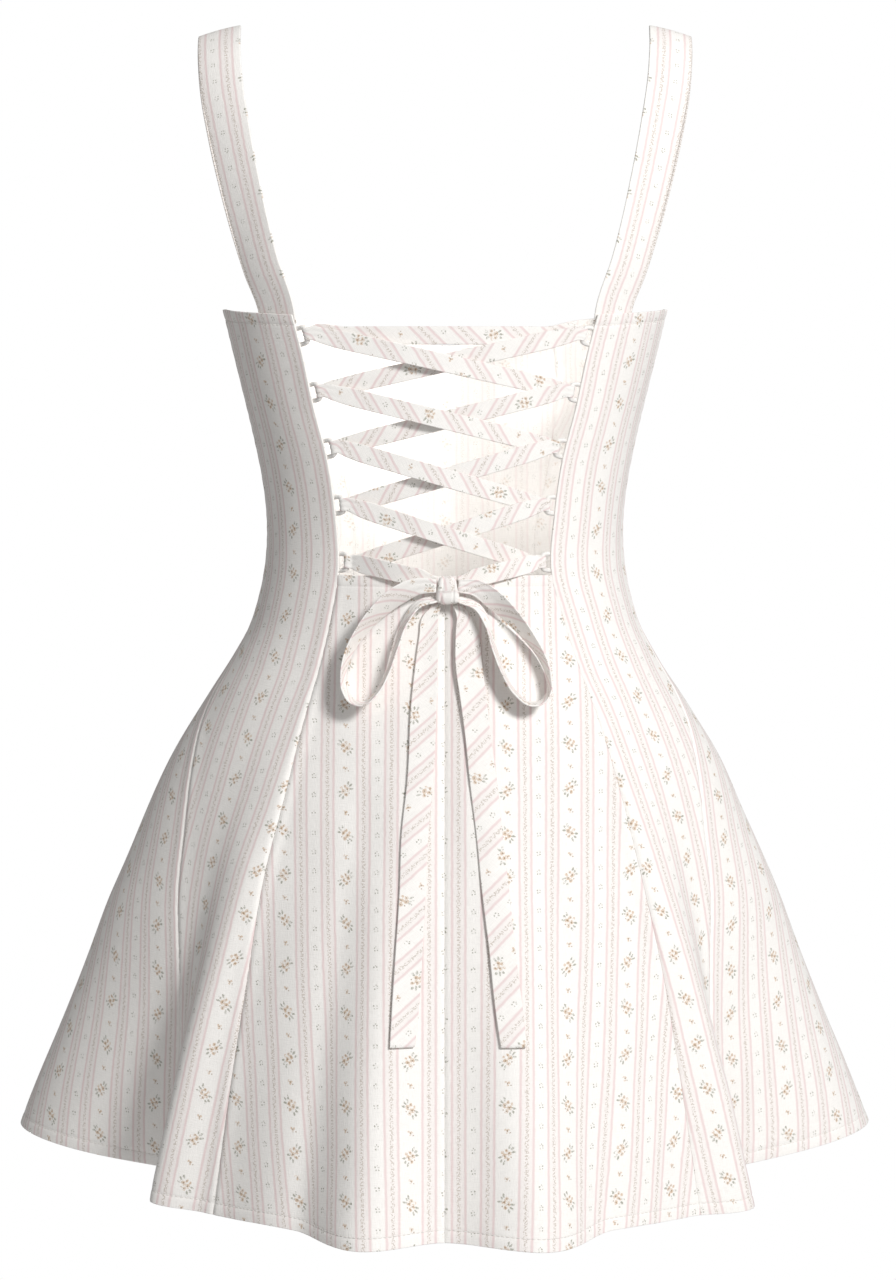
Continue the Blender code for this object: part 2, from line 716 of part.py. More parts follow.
def build_lace_ends(collection):
    """Last run on each side, from the lowest loop to the knot."""
    knot = knot_centre()
    upright = np.array([0.0, 0.0, 1.0])
    for side, word in ((-1, "left"), (1, "right")):
        reach = KNOT_HALF[0] + SEAM_GAP + 0.0001
        end = np.array([knot[0] + side * reach, knot[1] + KNOT_HALF[1] - 0.0021, LACE_END_Z])
        first = wrap_rows(side, LOOPS_PER_SIDE - 1)
        last = [
            (end + np.array([side * 0.004, 0.0002, 0.0008]), upright, LACE_END_WIDTH + 0.001),
            (end, upright, LACE_END_WIDTH),
        ]
        middle = straight_rows(first[-1], last[0], LACE_END_BULGE, 0.0, LACE_WIDTH)
        add_lace(collection, f"lace_end_{word}", [*first, *middle, *last])


def build_knot(collection):
    """Knot of the bow, a rounded block of folded ribbon."""
    mesh = bpy.data.meshes.new("bow_knot")
    shape = bmesh.new()
    bmesh.ops.create_cube(shape, size=2.0)
    bmesh.ops.scale(shape, vec=KNOT_HALF, verts=shape.verts)
    shape.to_mesh(mesh)
    shape.free()
    knot = add_object(collection, "bow_knot", mesh, RIBBON)
    knot.location = knot_centre()
    rounding = knot.modifiers.new("rounding", "BEVEL")
    rounding.width = KNOT_ROUNDING
    rounding.segments = 3


def build_bow(collection):
    """Two loops of the bow, each a ribbon that leaves the knot's front and returns to its back."""
    for side, word, table in ((-1, "left", BOW_LEFT), (1, "right", BOW_RIGHT)):
        route = [
            (x, cloth_depth(x, z) - standoff, z, turn, width)
            for x, z, turn, width, standoff in table
        ]
        route = resample(route, BOW_STEPS)
        travel = unit(np.gradient(route[:, :3], axis=0))
        outer = unit(np.stack([travel[:, 2], np.zeros(len(travel)), -travel[:, 0]], axis=1)) * side
        turn = np.radians(route[:, 3])[:, None]
        across = outer * np.cos(turn) + np.array([0.0, 1.0, 0.0]) * np.sin(turn)
        grid = ribbon_grid(route[:, :3], across, route[:, 4], 3)
        add_sheet(collection, f"bow_loop_{word}", grid, RIBBON_THICKNESS, RIBBON)


def build_tails(collection):
    """Free ends of the lace, which hang from the knot and lie on the back of the skirt."""
    for word, table in (("left", TAIL_LEFT), ("right", TAIL_RIGHT)):
        heights = np.linspace(table[0][0], table[-1][0], TAIL_STEPS + 1)
        grid = []
        for height in heights:
            left = float(smooth_table(table, 1, height))
            right = float(smooth_table(table, 2, height))
            row = []
            for across in np.linspace(left, right, 4):
                azimuth = azimuth_at(across, height)
                row.append(cloth_point(azimuth, height) + TAIL_STANDOFF * cloth_normal(azimuth, height))
            grid.append(row)
        add_sheet(collection, f"lace_tail_{word}", np.array(grid), RIBBON_THICKNESS, RIBBON)


def clear_scene():
    """Remove what the scene holds at the start."""
    for item in list(bpy.data.objects):
        bpy.data.objects.remove(item, do_unlink=True)


def main():
    """Build the whole dress in its own collection."""
    clear_scene()
    collection = bpy.data.collections.new(DRESS_NAME)
    bpy.context.scene.collection.children.link(collection)
    build_panels(collection)
    build_straps(collection)
    build_loops(collection)
    build_lacing(collection)
    build_lace_ends(collection)
    build_knot(collection)
    build_bow(collection)
    build_tails(collection)


main()
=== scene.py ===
"""Corset dress of striped floral cotton, laced at the back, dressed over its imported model.

Lengths are metres and angles are degrees unless a name says otherwise. An azimuth is an angle
about the vertical axis, 0 at the middle of the back and positive towards +X. A level counts down
the dress: 0 is its top edge, 1 the foot of the laced opening and 2 the hem.
"""
import logging
import math
from dataclasses import dataclass
from enum import Enum

import bpy
import numpy as np
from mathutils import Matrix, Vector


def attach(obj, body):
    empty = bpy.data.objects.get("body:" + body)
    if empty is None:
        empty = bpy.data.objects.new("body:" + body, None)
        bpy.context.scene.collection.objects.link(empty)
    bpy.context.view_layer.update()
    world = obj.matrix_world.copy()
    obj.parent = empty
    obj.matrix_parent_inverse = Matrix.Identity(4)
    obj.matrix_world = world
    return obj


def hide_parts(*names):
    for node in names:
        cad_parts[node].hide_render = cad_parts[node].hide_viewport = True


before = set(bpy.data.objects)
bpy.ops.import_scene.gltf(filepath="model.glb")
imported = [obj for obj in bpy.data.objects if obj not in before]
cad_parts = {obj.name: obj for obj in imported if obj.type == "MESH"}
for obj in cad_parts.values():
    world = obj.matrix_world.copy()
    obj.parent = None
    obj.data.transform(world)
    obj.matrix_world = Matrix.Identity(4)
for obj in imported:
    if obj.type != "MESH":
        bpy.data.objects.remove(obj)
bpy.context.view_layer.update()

LOG = logging.getLogger("corset_dress")
BODY = "root"
Table = tuple[tuple[float, ...], ...]


class Side(Enum):
    """Left and right of the dress as its back is seen."""

    LEFT = -1
    RIGHT = 1

    @property
    def word(self) -> str:
        """The side as the nodes' names spell it."""
        return self.name.lower()


class Seam(Enum):
    """Lines that the panels are cut along, from the middle of the back to the front."""

    BACK_MIDDLE = 0
    BACK = 1
    SIDE = 2
    FRONT = 3


class Grain(Enum):
    """Which edge of a panel its stripes follow: its lower azimuth, its higher one or its middle."""

    LOW = 0.0
    MIDDLE = 0.5
    HIGH = 1.0


def smooth_table(rows: Table, column: int, at: np.ndarray) -> np.ndarray:
    """Read a column of a table at some values of its first column, by smooth cubic pieces.

    Args:
        rows: Table whose first column rises or falls throughout.
        column: Column to read.
        at: Values of the first column.

    Returns:
        Array of the shape of at.
    """
    keys = np.array([row[0] for row in rows])
    values = np.array([row[column] for row in rows])
    if keys[0] > keys[-1]:
        keys = keys[::-1]
        values = values[::-1]
    slopes = np.gradient(values, keys)
    at = np.clip(at, keys[0], keys[-1])
    left = np.clip(np.searchsorted(keys, at) - 1, 0, len(keys) - 2)
    span = keys[left + 1] - keys[left]
    t = (at - keys[left]) / span
    rise = values[left] * (1 + 2 * t) * (1 - t) ** 2 + values[left + 1] * t * t * (3 - 2 * t)
    bend = slopes[left] * t * (1 - t) ** 2 - slopes[left + 1] * t * t * (1 - t)
    return rise + span * bend


def unit(vector: np.ndarray) -> np.ndarray:
    """Vectors of length one in the directions given."""
    return vector / np.maximum(np.linalg.norm(vector, axis=-1, keepdims=True), 1e-12)


def ease(value: np.ndarray, low: float, high: float) -> np.ndarray:
    """Smooth step from 0 at low to 1 at high, as 3t squared less 2t cubed."""
    t = np.clip((value - low) / (high - low), 0.0, 1.0)
    return t * t * (3 - 2 * t)


def bump_at(distance: np.ndarray, centre: float, width: float) -> np.ndarray:
    """Bell curve of height one about a distance."""
    return np.exp(-(((distance - centre) / width) ** 2))


def read_rows(wanted: np.ndarray, keys: np.ndarray, values: np.ndarray) -> np.ndarray:
    """Read each row of values at its own wanted keys, in straight pieces."""
    return np.array([np.interp(*row) for row in zip(wanted, keys, values)])


def arc_lengths(points: np.ndarray, axis: int) -> np.ndarray:
    """Distance travelled along one axis of a grid of points, from its first point."""
    steps = np.linalg.norm(np.diff(points, axis=axis), axis=-1)
    start = np.zeros_like(np.take(steps, [0], axis=axis))
    return np.concatenate([start, np.cumsum(steps, axis=axis)], axis=axis)


def resample(points: np.ndarray, steps: int) -> np.ndarray:
    """Rows read evenly along a smooth curve through the rows given, by distance in space.

    Args:
        points: Rows whose first three numbers are a place.
        steps: Number of steps along the curve.

    Returns:
        Array of steps + 1 rows.
    """
    points = np.asarray(points, float)
    along = arc_lengths(points[:, :3], 0)
    wanted = np.linspace(0.0, along[-1], steps + 1)
    columns = [smooth_table(np.column_stack([along, value]), 1, wanted) for value in points.T]
    return np.stack(columns, axis=-1)


def grid_normals(grid: np.ndarray) -> np.ndarray:
    """Normals of a grid surface: travel along its rows crossed with travel along its columns."""
    return unit(np.cross(np.gradient(grid, axis=0), np.gradient(grid, axis=1)))


def linear(red: int, green: int, blue: int) -> tuple[float, float, float, float]:
    """Linear colour with alpha from a colour as a screen shows it, 0 to 255."""
    share = np.array([red, green, blue]) / 255
    value = np.where(share <= 0.04045, share / 12.92, ((share + 0.055) / 1.055) ** 2.4)
    return (*value.tolist(), 1.0)


class Wire:
    """One output of a node. Arithmetic on it adds Math nodes."""

    def __init__(self, recipe: "Recipe", socket: bpy.types.NodeSocket) -> None:
        """Wrap a socket of a recipe's tree."""
        self.recipe = recipe
        self.socket = socket

    def _math(self, operation: str, first: "Value", second: "Value") -> "Wire":
        """Result of a Math node on two values."""
        return self.recipe.node("ShaderNodeMath", {0: first, 1: second}, operation=operation)

    def __add__(self, other: "Value") -> "Wire":
        """Sum."""
        return self._math("ADD", self, other)

    def __sub__(self, other: "Value") -> "Wire":
        """Difference."""
        return self._math("SUBTRACT", self, other)

    def __rsub__(self, other: "Value") -> "Wire":
        """Difference from a number."""
        return self._math("SUBTRACT", other, self)

    def __mul__(self, other: "Value") -> "Wire":
        """Product."""
        return self._math("MULTIPLY", self, other)

    def __truediv__(self, other: "Value") -> "Wire":
        """Quotient."""
        return self._math("DIVIDE", self, other)

    def __abs__(self) -> "Wire":
        """Size without its sign."""
        return self._math("ABSOLUTE", self, 0.0)

    def least(self, other: "Value") -> "Wire":
        """The smaller of two values."""
        return self._math("MINIMUM", self, other)

    def most(self, other: "Value") -> "Wire":
        """The larger of two values."""
        return self._math("MAXIMUM", self, other)

    __radd__ = __add__
    __rmul__ = __mul__


Value = Wire | float | tuple[float, ...]


class Recipe:
    """Node tree of a material, with one method that adds any node."""

    def __init__(self, name: str) -> None:
        """Start a material with its principled shader."""
        self.material = bpy.data.materials.new(name)
        self.material.use_nodes = True
        self.tree = self.material.node_tree
        self.shader = self.tree.nodes["Principled BSDF"]

    def node(self, kind: str, values: dict | None = None, output: int = 0, **settings) -> Wire:
        """Add a node.

        Args:
            kind: Node type.
            values: Numbers or wires by input name or place.
            output: Place of the output wanted.
            **settings: Properties set before the inputs are read.

        Returns:
            The output as a wire.
        """
        made = self.tree.nodes.new(kind)
        for key, value in settings.items():
            setattr(made, key, value)
        for key, value in (values or {}).items():
            self.feed(made.inputs[key], value)
        return Wire(self, made.outputs[output])

    def feed(self, socket: bpy.types.NodeSocket, value: Value) -> None:
        """Link a wire to an input, or set its number."""
        if isinstance(value, Wire):
            self.tree.links.new(value.socket, socket)
        else:
            socket.default_value = value

    def smooth(self, value: Wire, low: float, high: float) -> Wire:
        """Smooth step from 0 at low to 1 at high."""
        limits = {0: value, 1: low, 2: high}
        return self.node("ShaderNodeMapRange", limits, interpolation_type="SMOOTHSTEP")

    def wrap(self, value: Wire, half: float) -> Wire:
        """Value folded into the range from minus half to half."""
        return self.node("ShaderNodeMath", {0: value, 1: half, 2: -half}, operation="WRAP")

    def join(self, across: Value, down: Value) -> Wire:
        """Vector from two coordinates."""
        return self.node("ShaderNodeCombineXYZ", {0: across, 1: down})

    def noise(self, place: Wire, scale: float, detail: float = 2.0) -> Wire:
        """Noise from 0 to 1."""
        return self.node("ShaderNodeTexNoise", {"Vector": place, "Scale": scale, "Detail": detail})

    def blend(self, factor: Value, start: Value, end: Value) -> Wire:
        """Colour between two colours."""
        return self.node("ShaderNodeMix", {0: factor, 6: start, 7: end}, 2, data_type="RGBA")

    def distance(self, place: Wire, centre: tuple[float, float]) -> Wire:
        """Distance from a centre."""
        values = {0: place, 1: (*centre, 0.0)}
        return self.node("ShaderNodeVectorMath", values, 1, operation="DISTANCE")

    def finish(self, roughness: Value, height: Wire, depth: float, colour: Value) -> bpy.types.Material:
        """Connect colour, roughness and relief to the shader."""
        bump = self.node("ShaderNodeBump", {"Height": height, "Distance": depth})
        self.feed(self.shader.inputs["Normal"], bump)
        self.feed(self.shader.inputs["Base Color"], colour)
        self.feed(self.shader.inputs["Roughness"], roughness)
        return self.material


@dataclass(frozen=True)
class PrintedCotton:
    """Fine off-white cotton printed with pink stripes, a dotted vine, posies and sprigs.

    The print is charted on the cloth map, across and down in metres. A posy column runs at 0, a
    striped band on each side of it and a column of sprigs half a repeat away.
    """

    name: str
    strength: float = 1.0
    ground: tuple[int, int, int] = (249, 246, 242)
    pink: tuple[int, int, int] = (228, 206, 205)
    vine: tuple[int, int, int] = (184, 172, 158)
    blossom: tuple[int, int, int] = (208, 182, 156)
    heart: tuple[int, int, int] = (152, 126, 98)
    leaf: tuple[int, int, int] = (150, 150, 134)
    repeat_across: float = 0.0448
    posy_pitch: float = 0.0296
    sprig_pitch: float = 0.0127
    band_centre: float = 0.0127
    stripe_offset: float = 0.0044
    stripe_half: float = 0.0008
    stripe_soft: float = 0.0006
    vine_half: float = 0.0012
    vine_pitch: float = 0.0036
    edge_soft: float = 0.00022
    posy_blossoms: Table = (
        (-0.0015, -0.0009, 0.0016), (0.0014, 0.0007, 0.0016), (0.0003, -0.0028, 0.0012),
        (-0.0006, 0.0027, 0.0013), (0.0028, -0.0016, 0.0010),
    )
    posy_hearts: Table = (
        (-0.0015, -0.0009, 0.0006), (0.0014, 0.0007, 0.0006), (-0.0006, 0.0027, 0.0005),
        (0.0003, -0.0028, 0.0004), (-0.0027, 0.0016, 0.0004),
    )
    posy_leaves: Table = (
        (-0.0036, -0.0036, 45.0), (-0.0043, -0.0014, 12.0), (-0.0019, -0.0049, 72.0),
        (0.0036, 0.0034, 45.0), (0.0043, 0.0012, 12.0), (0.0019, 0.0049, 72.0),
    )
    leaf_half: tuple[float, float] = (0.0014, 0.0007)
    bud_blossoms: Table = ((-0.0009, -0.0006, 0.0008), (0.0009, -0.0004, 0.0008), (0.0001, 0.0011, 0.0008))
    bud_hearts: Table = ((0.0001, 0.0001, 0.0005), (0.0020, 0.0014, 0.0004))
    sprig_dabs: Table = (
        (-0.0011, -0.0007, 0.00052), (0.0010, -0.0008, 0.00052), (-0.0007, 0.0010, 0.00052),
        (0.0011, 0.0008, 0.00046), (0.0001, -0.0017, 0.00040),
    )

    def _dabs(self, recipe: Recipe, place: Wire, spots: Table) -> Wire:
        """Signed distance to the nearest of some round dabs, negative inside one."""
        nearest = recipe.distance(place, spots[0][:2]) - spots[0][2]
        for across, down, radius in spots[1:]:
            nearest = nearest.least(recipe.distance(place, (across, down)) - radius)
        return nearest

    def _leaves(self, recipe: Recipe, place: Wire) -> Wire:
        """Signed distance to the nearest leaf: length of the place turned and scaled to its oval."""
        nearest = None
        for across, down, turn in self.posy_leaves:
            values = {
                0: place,
                1: (across, down, 0.0),
                2: (0.0, 0.0, math.radians(turn)),
                3: (*self.leaf_half, 1.0),
            }
            oval = recipe.node("ShaderNodeMapping", values, vector_type="TEXTURE")
            length = recipe.node("ShaderNodeVectorMath", {0: oval}, 1, operation="LENGTH")
            inside = (length - 1.0) * self.leaf_half[1]
            nearest = inside if nearest is None else nearest.least(inside)
        return nearest

    def material(self) -> bpy.types.Material:
        """Build the cloth's material."""
        recipe = Recipe(self.name)
        chart = recipe.node("ShaderNodeUVMap", uv_map="cloth")
        wobble = recipe.noise(chart, 160.0) - 0.5
        across = recipe.node("ShaderNodeSeparateXYZ", {0: chart}, 0) + wobble * 0.0009
        down = recipe.node("ShaderNodeSeparateXYZ", {0: chart}, 1)
        grit = recipe.noise(chart, 1300.0, 1.0)
        rough_edge = (grit - 0.5) * 0.0011
        ink = recipe.smooth(recipe.noise(chart, 600.0, 1.0), 0.30, 0.62)

        cell = recipe.wrap(across, self.repeat_across / 2)
        band = abs(cell) - self.band_centre
        line = abs(abs(band) - self.stripe_offset)
        stripe = recipe.smooth(line, self.stripe_half + self.stripe_soft, self.stripe_half - self.stripe_soft)
        inside = recipe.smooth(abs(band), self.stripe_offset + 0.0004, self.stripe_offset - 0.0004)
        wave = recipe.node("ShaderNodeMath", {0: down * (2 * math.pi / self.vine_pitch)}, operation="SINE")
        vine_line = abs(band + wave * 0.0003)
        vine = recipe.smooth(vine_line + rough_edge, self.vine_half + 0.0003, self.vine_half - 0.0005)
        speck = recipe.smooth(recipe.noise(chart, 1000.0, 0.0), 0.44, 0.58)

        row = recipe.node("ShaderNodeMath", {0: down / self.posy_pitch + 0.5}, operation="FLOOR")
        odd = abs(recipe.wrap(row, 1.0))
        flip = 1.0 - odd * 2.0
        posy_down = recipe.wrap(down, self.posy_pitch / 2)
        posy = recipe.join(cell * flip, posy_down)
        bud = recipe.join(cell, recipe.wrap(down + self.posy_pitch / 2, self.posy_pitch / 2))
        sprig_across = recipe.wrap(across + self.repeat_across / 2, self.repeat_across / 2)
        sprig = recipe.join(sprig_across, recipe.wrap(down, self.sprig_pitch / 2))

        def printed(distance: Wire) -> Wire:
            """Cover of a dab from its signed distance, broken at its edge."""
            return recipe.smooth(distance + rough_edge, self.edge_soft, -self.edge_soft)

        blossoms = self._dabs(recipe, posy, self.posy_blossoms).least(
            self._dabs(recipe, bud, self.bud_blossoms)
        )
        hearts = self._dabs(recipe, posy, self.posy_hearts).least(self._dabs(recipe, bud, self.bud_hearts))
        leaves = self._leaves(recipe, posy).least(self._dabs(recipe, sprig, self.sprig_dabs))

        weave = recipe.noise(recipe.join(across * 2600.0, down * 160.0), 1.0, 1.0)
        slub = recipe.noise(recipe.join(across * 180.0, down * 1500.0), 1.0, 1.0)
        thread = (weave - 0.5) * 0.75 + (slub - 0.5) * 0.45
        ground = recipe.blend(
            recipe.smooth(thread, 0.22, -0.22), linear(*self.ground), linear(*[c - 9 for c in self.ground])
        )
        colour = recipe.blend(inside * (0.16 * self.strength), ground, linear(*self.pink))
        colour = recipe.blend(stripe * (0.80 * self.strength), colour, linear(*self.pink))
        colour = recipe.blend(vine * speck * (0.62 * self.strength), colour, linear(*self.vine))
        colour = recipe.blend(
            printed(blossoms) * ink * (0.85 * self.strength), colour, linear(*self.blossom)
        )
        colour = recipe.blend(printed(leaves) * ink * (0.85 * self.strength), colour, linear(*self.leaf))
        colour = recipe.blend(printed(hearts) * (0.80 * self.strength), colour, linear(*self.heart))
        roughness = 0.86 + grit * 0.1
        recipe.shader.inputs["Sheen Weight"].default_value = 0.12
        recipe.shader.inputs["Sheen Roughness"].default_value = 0.5
        recipe.shader.inputs["Specular IOR Level"].default_value = 0.25
        return recipe.finish(roughness, thread + grit * 0.3, 0.00025, colour)


@dataclass(frozen=True)
class PlainCloth:
    """Plain off-white cloth or thread with a fine twist in it."""

    name: str
    colour: tuple[int, int, int] = (246, 243, 239)
    twist: float = 900.0

    def material(self) -> bpy.types.Material:
        """Build the cloth's material."""
        recipe = Recipe(self.name)
        chart = recipe.node("ShaderNodeUVMap", uv_map="cloth")
        fibre = recipe.noise(chart, self.twist, 2.0)
        shade = linear(*[c - 14 for c in self.colour])
        colour = recipe.blend(recipe.smooth(fibre, 0.35, 0.65), shade, linear(*self.colour))
        recipe.shader.inputs["Sheen Weight"].default_value = 0.12
        recipe.shader.inputs["Specular IOR Level"].default_value = 0.25
        return recipe.finish(0.85 + fibre * 0.1, fibre, 0.0003, colour)


@dataclass(frozen=True)
class PaleFloor:
    """Matt white studio floor with a faint mottle."""

    name: str = "studio_floor"
    colour: tuple[int, int, int] = (250, 250, 250)

    def material(self) -> bpy.types.Material:
        """Build the floor's material."""
        recipe = Recipe(self.name)
        place = recipe.node("ShaderNodeTexCoord", output=3)
        mottle = recipe.noise(place, 12.0)
        colour = recipe.blend(mottle, linear(*self.colour), linear(*[c - 4 for c in self.colour]))
        return recipe.finish(0.8 + mottle * 0.1, mottle, 0.0002, colour)


@dataclass(frozen=True)
class Finishes:
    """Materials of the dress, each made once and shared."""

    cotton: bpy.types.Material
    reverse: bpy.types.Material
    ribbon: bpy.types.Material
    cord: bpy.types.Material
    thread: bpy.types.Material

    @classmethod
    def make(cls) -> "Finishes":
        """Build every material of the dress."""
        return cls(
            PrintedCotton("cotton_print").material(),
            PrintedCotton("cotton_reverse", strength=0.3).material(),
            PrintedCotton("ribbon_print", strength=0.95).material(),
            PlainCloth("loop_cord").material(),
            PlainCloth("stitch_thread", (240, 236, 231), 2500.0).material(),
        )


@dataclass(frozen=True)
class DressForm:
    """The worn form of the dress: its rings, folds and edges, the same as in the solids."""

    top_level: float = -0.200
    opening_foot: float = -0.379
    hem_level: float = -0.790
    fold_start: float = -0.420
    seam_gap: float = 0.0003
    bust: tuple[float, float, float, float, float] = (137.0, -0.262, 0.011, 20.0, 0.034)
    rings: Table = (
        (-0.195, 0.1565, 0.1005, 0.1070), (-0.220, 0.1505, 0.0985, 0.1100),
        (-0.243, 0.1447, 0.0970, 0.1120), (-0.266, 0.1390, 0.0955, 0.1120),
        (-0.289, 0.1336, 0.0940, 0.1090), (-0.311, 0.1290, 0.0920, 0.1040),
        (-0.335, 0.1257, 0.0905, 0.0980), (-0.358, 0.1250, 0.0900, 0.0940),
        (-0.378, 0.1267, 0.0915, 0.0955), (-0.399, 0.1310, 0.0945, 0.0990),
        (-0.420, 0.1380, 0.0985, 0.1040), (-0.437, 0.1475, 0.1030, 0.1100),
        (-0.466, 0.1660, 0.1145, 0.1220), (-0.505, 0.1897, 0.1310, 0.1400),
        (-0.555, 0.2130, 0.1520, 0.1620), (-0.604, 0.2340, 0.1735, 0.1840),
        (-0.668, 0.2580, 0.2010, 0.2100), (-0.737, 0.2867, 0.2260, 0.2360),
        (-0.795, 0.3090, 0.2440, 0.2540),
    )
    folds: Table = (
        (0.0, 0.0, 0.0, 0.951, 1.5), (11.7, 12.9, 0.0, 1.043, 1.5), (25.0, 28.0, 1.0, 0.915, 1.2),
        (43.0, 45.0, 4.0, 0.860, 1.2), (50.8, 53.7, 7.0, 0.900, 1.7), (60.0, 61.5, 0.0, 0.710, 1.6),
        (90.0, 90.0, 0.0, 1.000, 1.0), (119.0, 120.0, 0.0, 0.780, 1.9), (129.0, 129.0, 0.0, 0.920, 0.6),
        (138.0, 137.0, 0.0, 0.865, 0.7), (153.0, 152.0, 0.0, 0.920, 1.2),
        (167.0, 168.0, 0.0, 1.035, 1.5), (180.0, 180.0, 0.0, 0.965, 1.5),
    )
    top_edge: Table = (
        (0.0, -0.2026), (50.0, -0.2026), (75.0, -0.1990), (90.0, -0.1966), (104.0, -0.1990),
        (116.0, -0.2000), (132.0, -0.2020), (150.0, -0.2110), (165.0, -0.2170), (180.0, -0.2200),
    )
    hem_edge: Table = (
        (-180.0, -0.7880), (-130.0, -0.7830), (-115.0, -0.7760), (-90.0, -0.7670), (-70.0, -0.7755),
        (-60.0, -0.7790), (-52.0, -0.7845), (-43.0, -0.7885), (-27.0, -0.7885), (-19.0, -0.7915),
        (-10.0, -0.7915), (0.0, -0.7912), (10.0, -0.7915), (20.0, -0.7935), (28.0, -0.7900),
        (44.0, -0.7915), (54.0, -0.7905), (61.0, -0.7820), (70.0, -0.7765), (90.0, -0.7655),
        (115.0, -0.7760), (130.0, -0.7830), (180.0, -0.7880),
    )
    back_line: Table = (
        (-0.200, 0.1045, 0.1045), (-0.226, 0.0977, 0.0977), (-0.262, 0.0900, 0.0900),
        (-0.300, 0.0803, 0.0803), (-0.338, 0.0748, 0.0748), (-0.379, 0.0729, 0.0729),
        (-0.405, 0.0772, 0.0800), (-0.438, 0.0845, 0.0905), (-0.475, 0.0950, 0.1040),
        (-0.525, 0.1072, 0.1185), (-0.575, 0.1198, 0.1305), (-0.640, 0.1302, 0.1445),
        (-0.700, 0.1393, 0.1540), (-0.790, 0.1510, 0.1672),
    )
    front_line: Table = (
        (-0.200, 0.0800), (-0.262, 0.0830), (-0.310, 0.0760), (-0.360, 0.0660), (-0.400, 0.0700),
        (-0.470, 0.0900), (-0.550, 0.1100), (-0.650, 0.1300), (-0.790, 0.1500),
    )
    side_line: Table = (
        (-0.200, 86.0), (-0.380, 86.0), (-0.430, 85.0), (-0.469, 82.0), (-0.512, 74.0), (-0.557, 69.0),
        (-0.600, 66.0), (-0.640, 63.0), (-0.683, 61.0), (-0.790, 60.5),
    )

    def fold_ratio(self, azimuth: np.ndarray, height: np.ndarray) -> np.ndarray:
        """Radius of the folded skirt against its ring's, easing between each ridge and valley."""
        growth = np.clip((self.fold_start - height) / (self.fold_start - self.hem_level), 0.0, 1.05)
        turn = np.abs(azimuth)
        ratio = np.ones_like(turn)
        for near, far in zip(self.folds[:-1], self.folds[1:]):
            start = np.where(azimuth < 0, near[0], near[1]) - near[2] * (1 - growth)
            end = np.where(azimuth < 0, far[0], far[1]) - far[2] * (1 - growth)
            t = np.clip((turn - start) / (end - start), 0.0, 1.0)
            near_value = (near[3] - 1) * growth ** near[4]
            far_value = (far[3] - 1) * growth ** far[4]
            value = 1 + near_value + (far_value - near_value) * t * t * (3 - 2 * t)
            ratio = np.where((turn >= start) & (turn <= end), value, ratio)
        return ratio

    def point(self, azimuth: np.ndarray, height: np.ndarray) -> np.ndarray:
        """Points on the outer face: an ellipse's radius times the folds', and the bust's rise."""
        azimuth, height = np.broadcast_arrays(np.asarray(azimuth, float), np.asarray(height, float))
        azimuth = (azimuth + 180.0) % 360.0 - 180.0
        sine = np.sin(np.radians(azimuth))
        cosine = np.cos(np.radians(azimuth))
        half_width = smooth_table(self.rings, 1, height)
        back = smooth_table(self.rings, 2, height)
        depth = np.where(cosine > 0, back, smooth_table(self.rings, 3, height))
        radius = 1 / np.sqrt((sine / half_width) ** 2 + (cosine / depth) ** 2)
        turn, middle, rise, spread_turn, spread_height = self.bust
        across = (np.abs(azimuth) - turn) / spread_turn
        up = (height - middle) / spread_height
        radius = radius * self.fold_ratio(azimuth, height) + rise * np.exp(-across ** 2 - up ** 2)
        return np.stack([radius * sine, -radius * cosine, height], axis=-1)

    def normal(self, azimuth: np.ndarray, height: np.ndarray) -> np.ndarray:
        """Outward normals of the outer face, from small steps round and up."""
        azimuth, height = np.broadcast_arrays(np.asarray(azimuth, float), np.asarray(height, float))
        around = self.point(azimuth + 0.05, height) - self.point(azimuth - 0.05, height)
        upward = self.point(azimuth, height + 0.0005) - self.point(azimuth, height - 0.0005)
        return unit(np.cross(around, upward))

    def azimuth_at(self, across: np.ndarray, height: np.ndarray) -> np.ndarray:
        """Azimuths of the back's face at signed distances across from the middle."""
        across, height = np.broadcast_arrays(np.asarray(across, float), np.asarray(height, float))
        shape = across.shape
        across, height = across.ravel(), height.ravel()
        limit = np.where(height > self.fold_start, 85.0, 51.0)
        sign = np.where(across < 0, -1.0, 1.0)
        turns = np.linspace(0.0, 1.0, 120) * limit[:, None]
        reach = np.abs(self.point(turns * sign[:, None], height[:, None])[..., 0])
        return (read_rows(np.abs(across)[:, None], reach, turns)[:, 0] * sign).reshape(shape)

    def nominal_height(self, level: np.ndarray) -> np.ndarray:
        """Height of a level where the edges are level."""
        bodice = self.top_level + (self.opening_foot - self.top_level) * level
        skirt = self.opening_foot + (self.hem_level - self.opening_foot) * (level - 1)
        return np.where(level <= 1, bodice, skirt)

    def level_height(self, level: np.ndarray, azimuth: np.ndarray) -> np.ndarray:
        """Height of a level where the top edge and the hem rise and fall round the dress."""
        azimuth = (np.asarray(azimuth, float) + 180.0) % 360.0 - 180.0
        top = smooth_table(self.top_edge, 1, np.abs(azimuth))
        hem = smooth_table(self.hem_edge, 1, azimuth)
        bodice = top + (self.opening_foot - top) * level
        skirt = self.opening_foot + (hem - self.opening_foot) * (level - 1)
        return np.where(level <= 1, bodice, skirt)

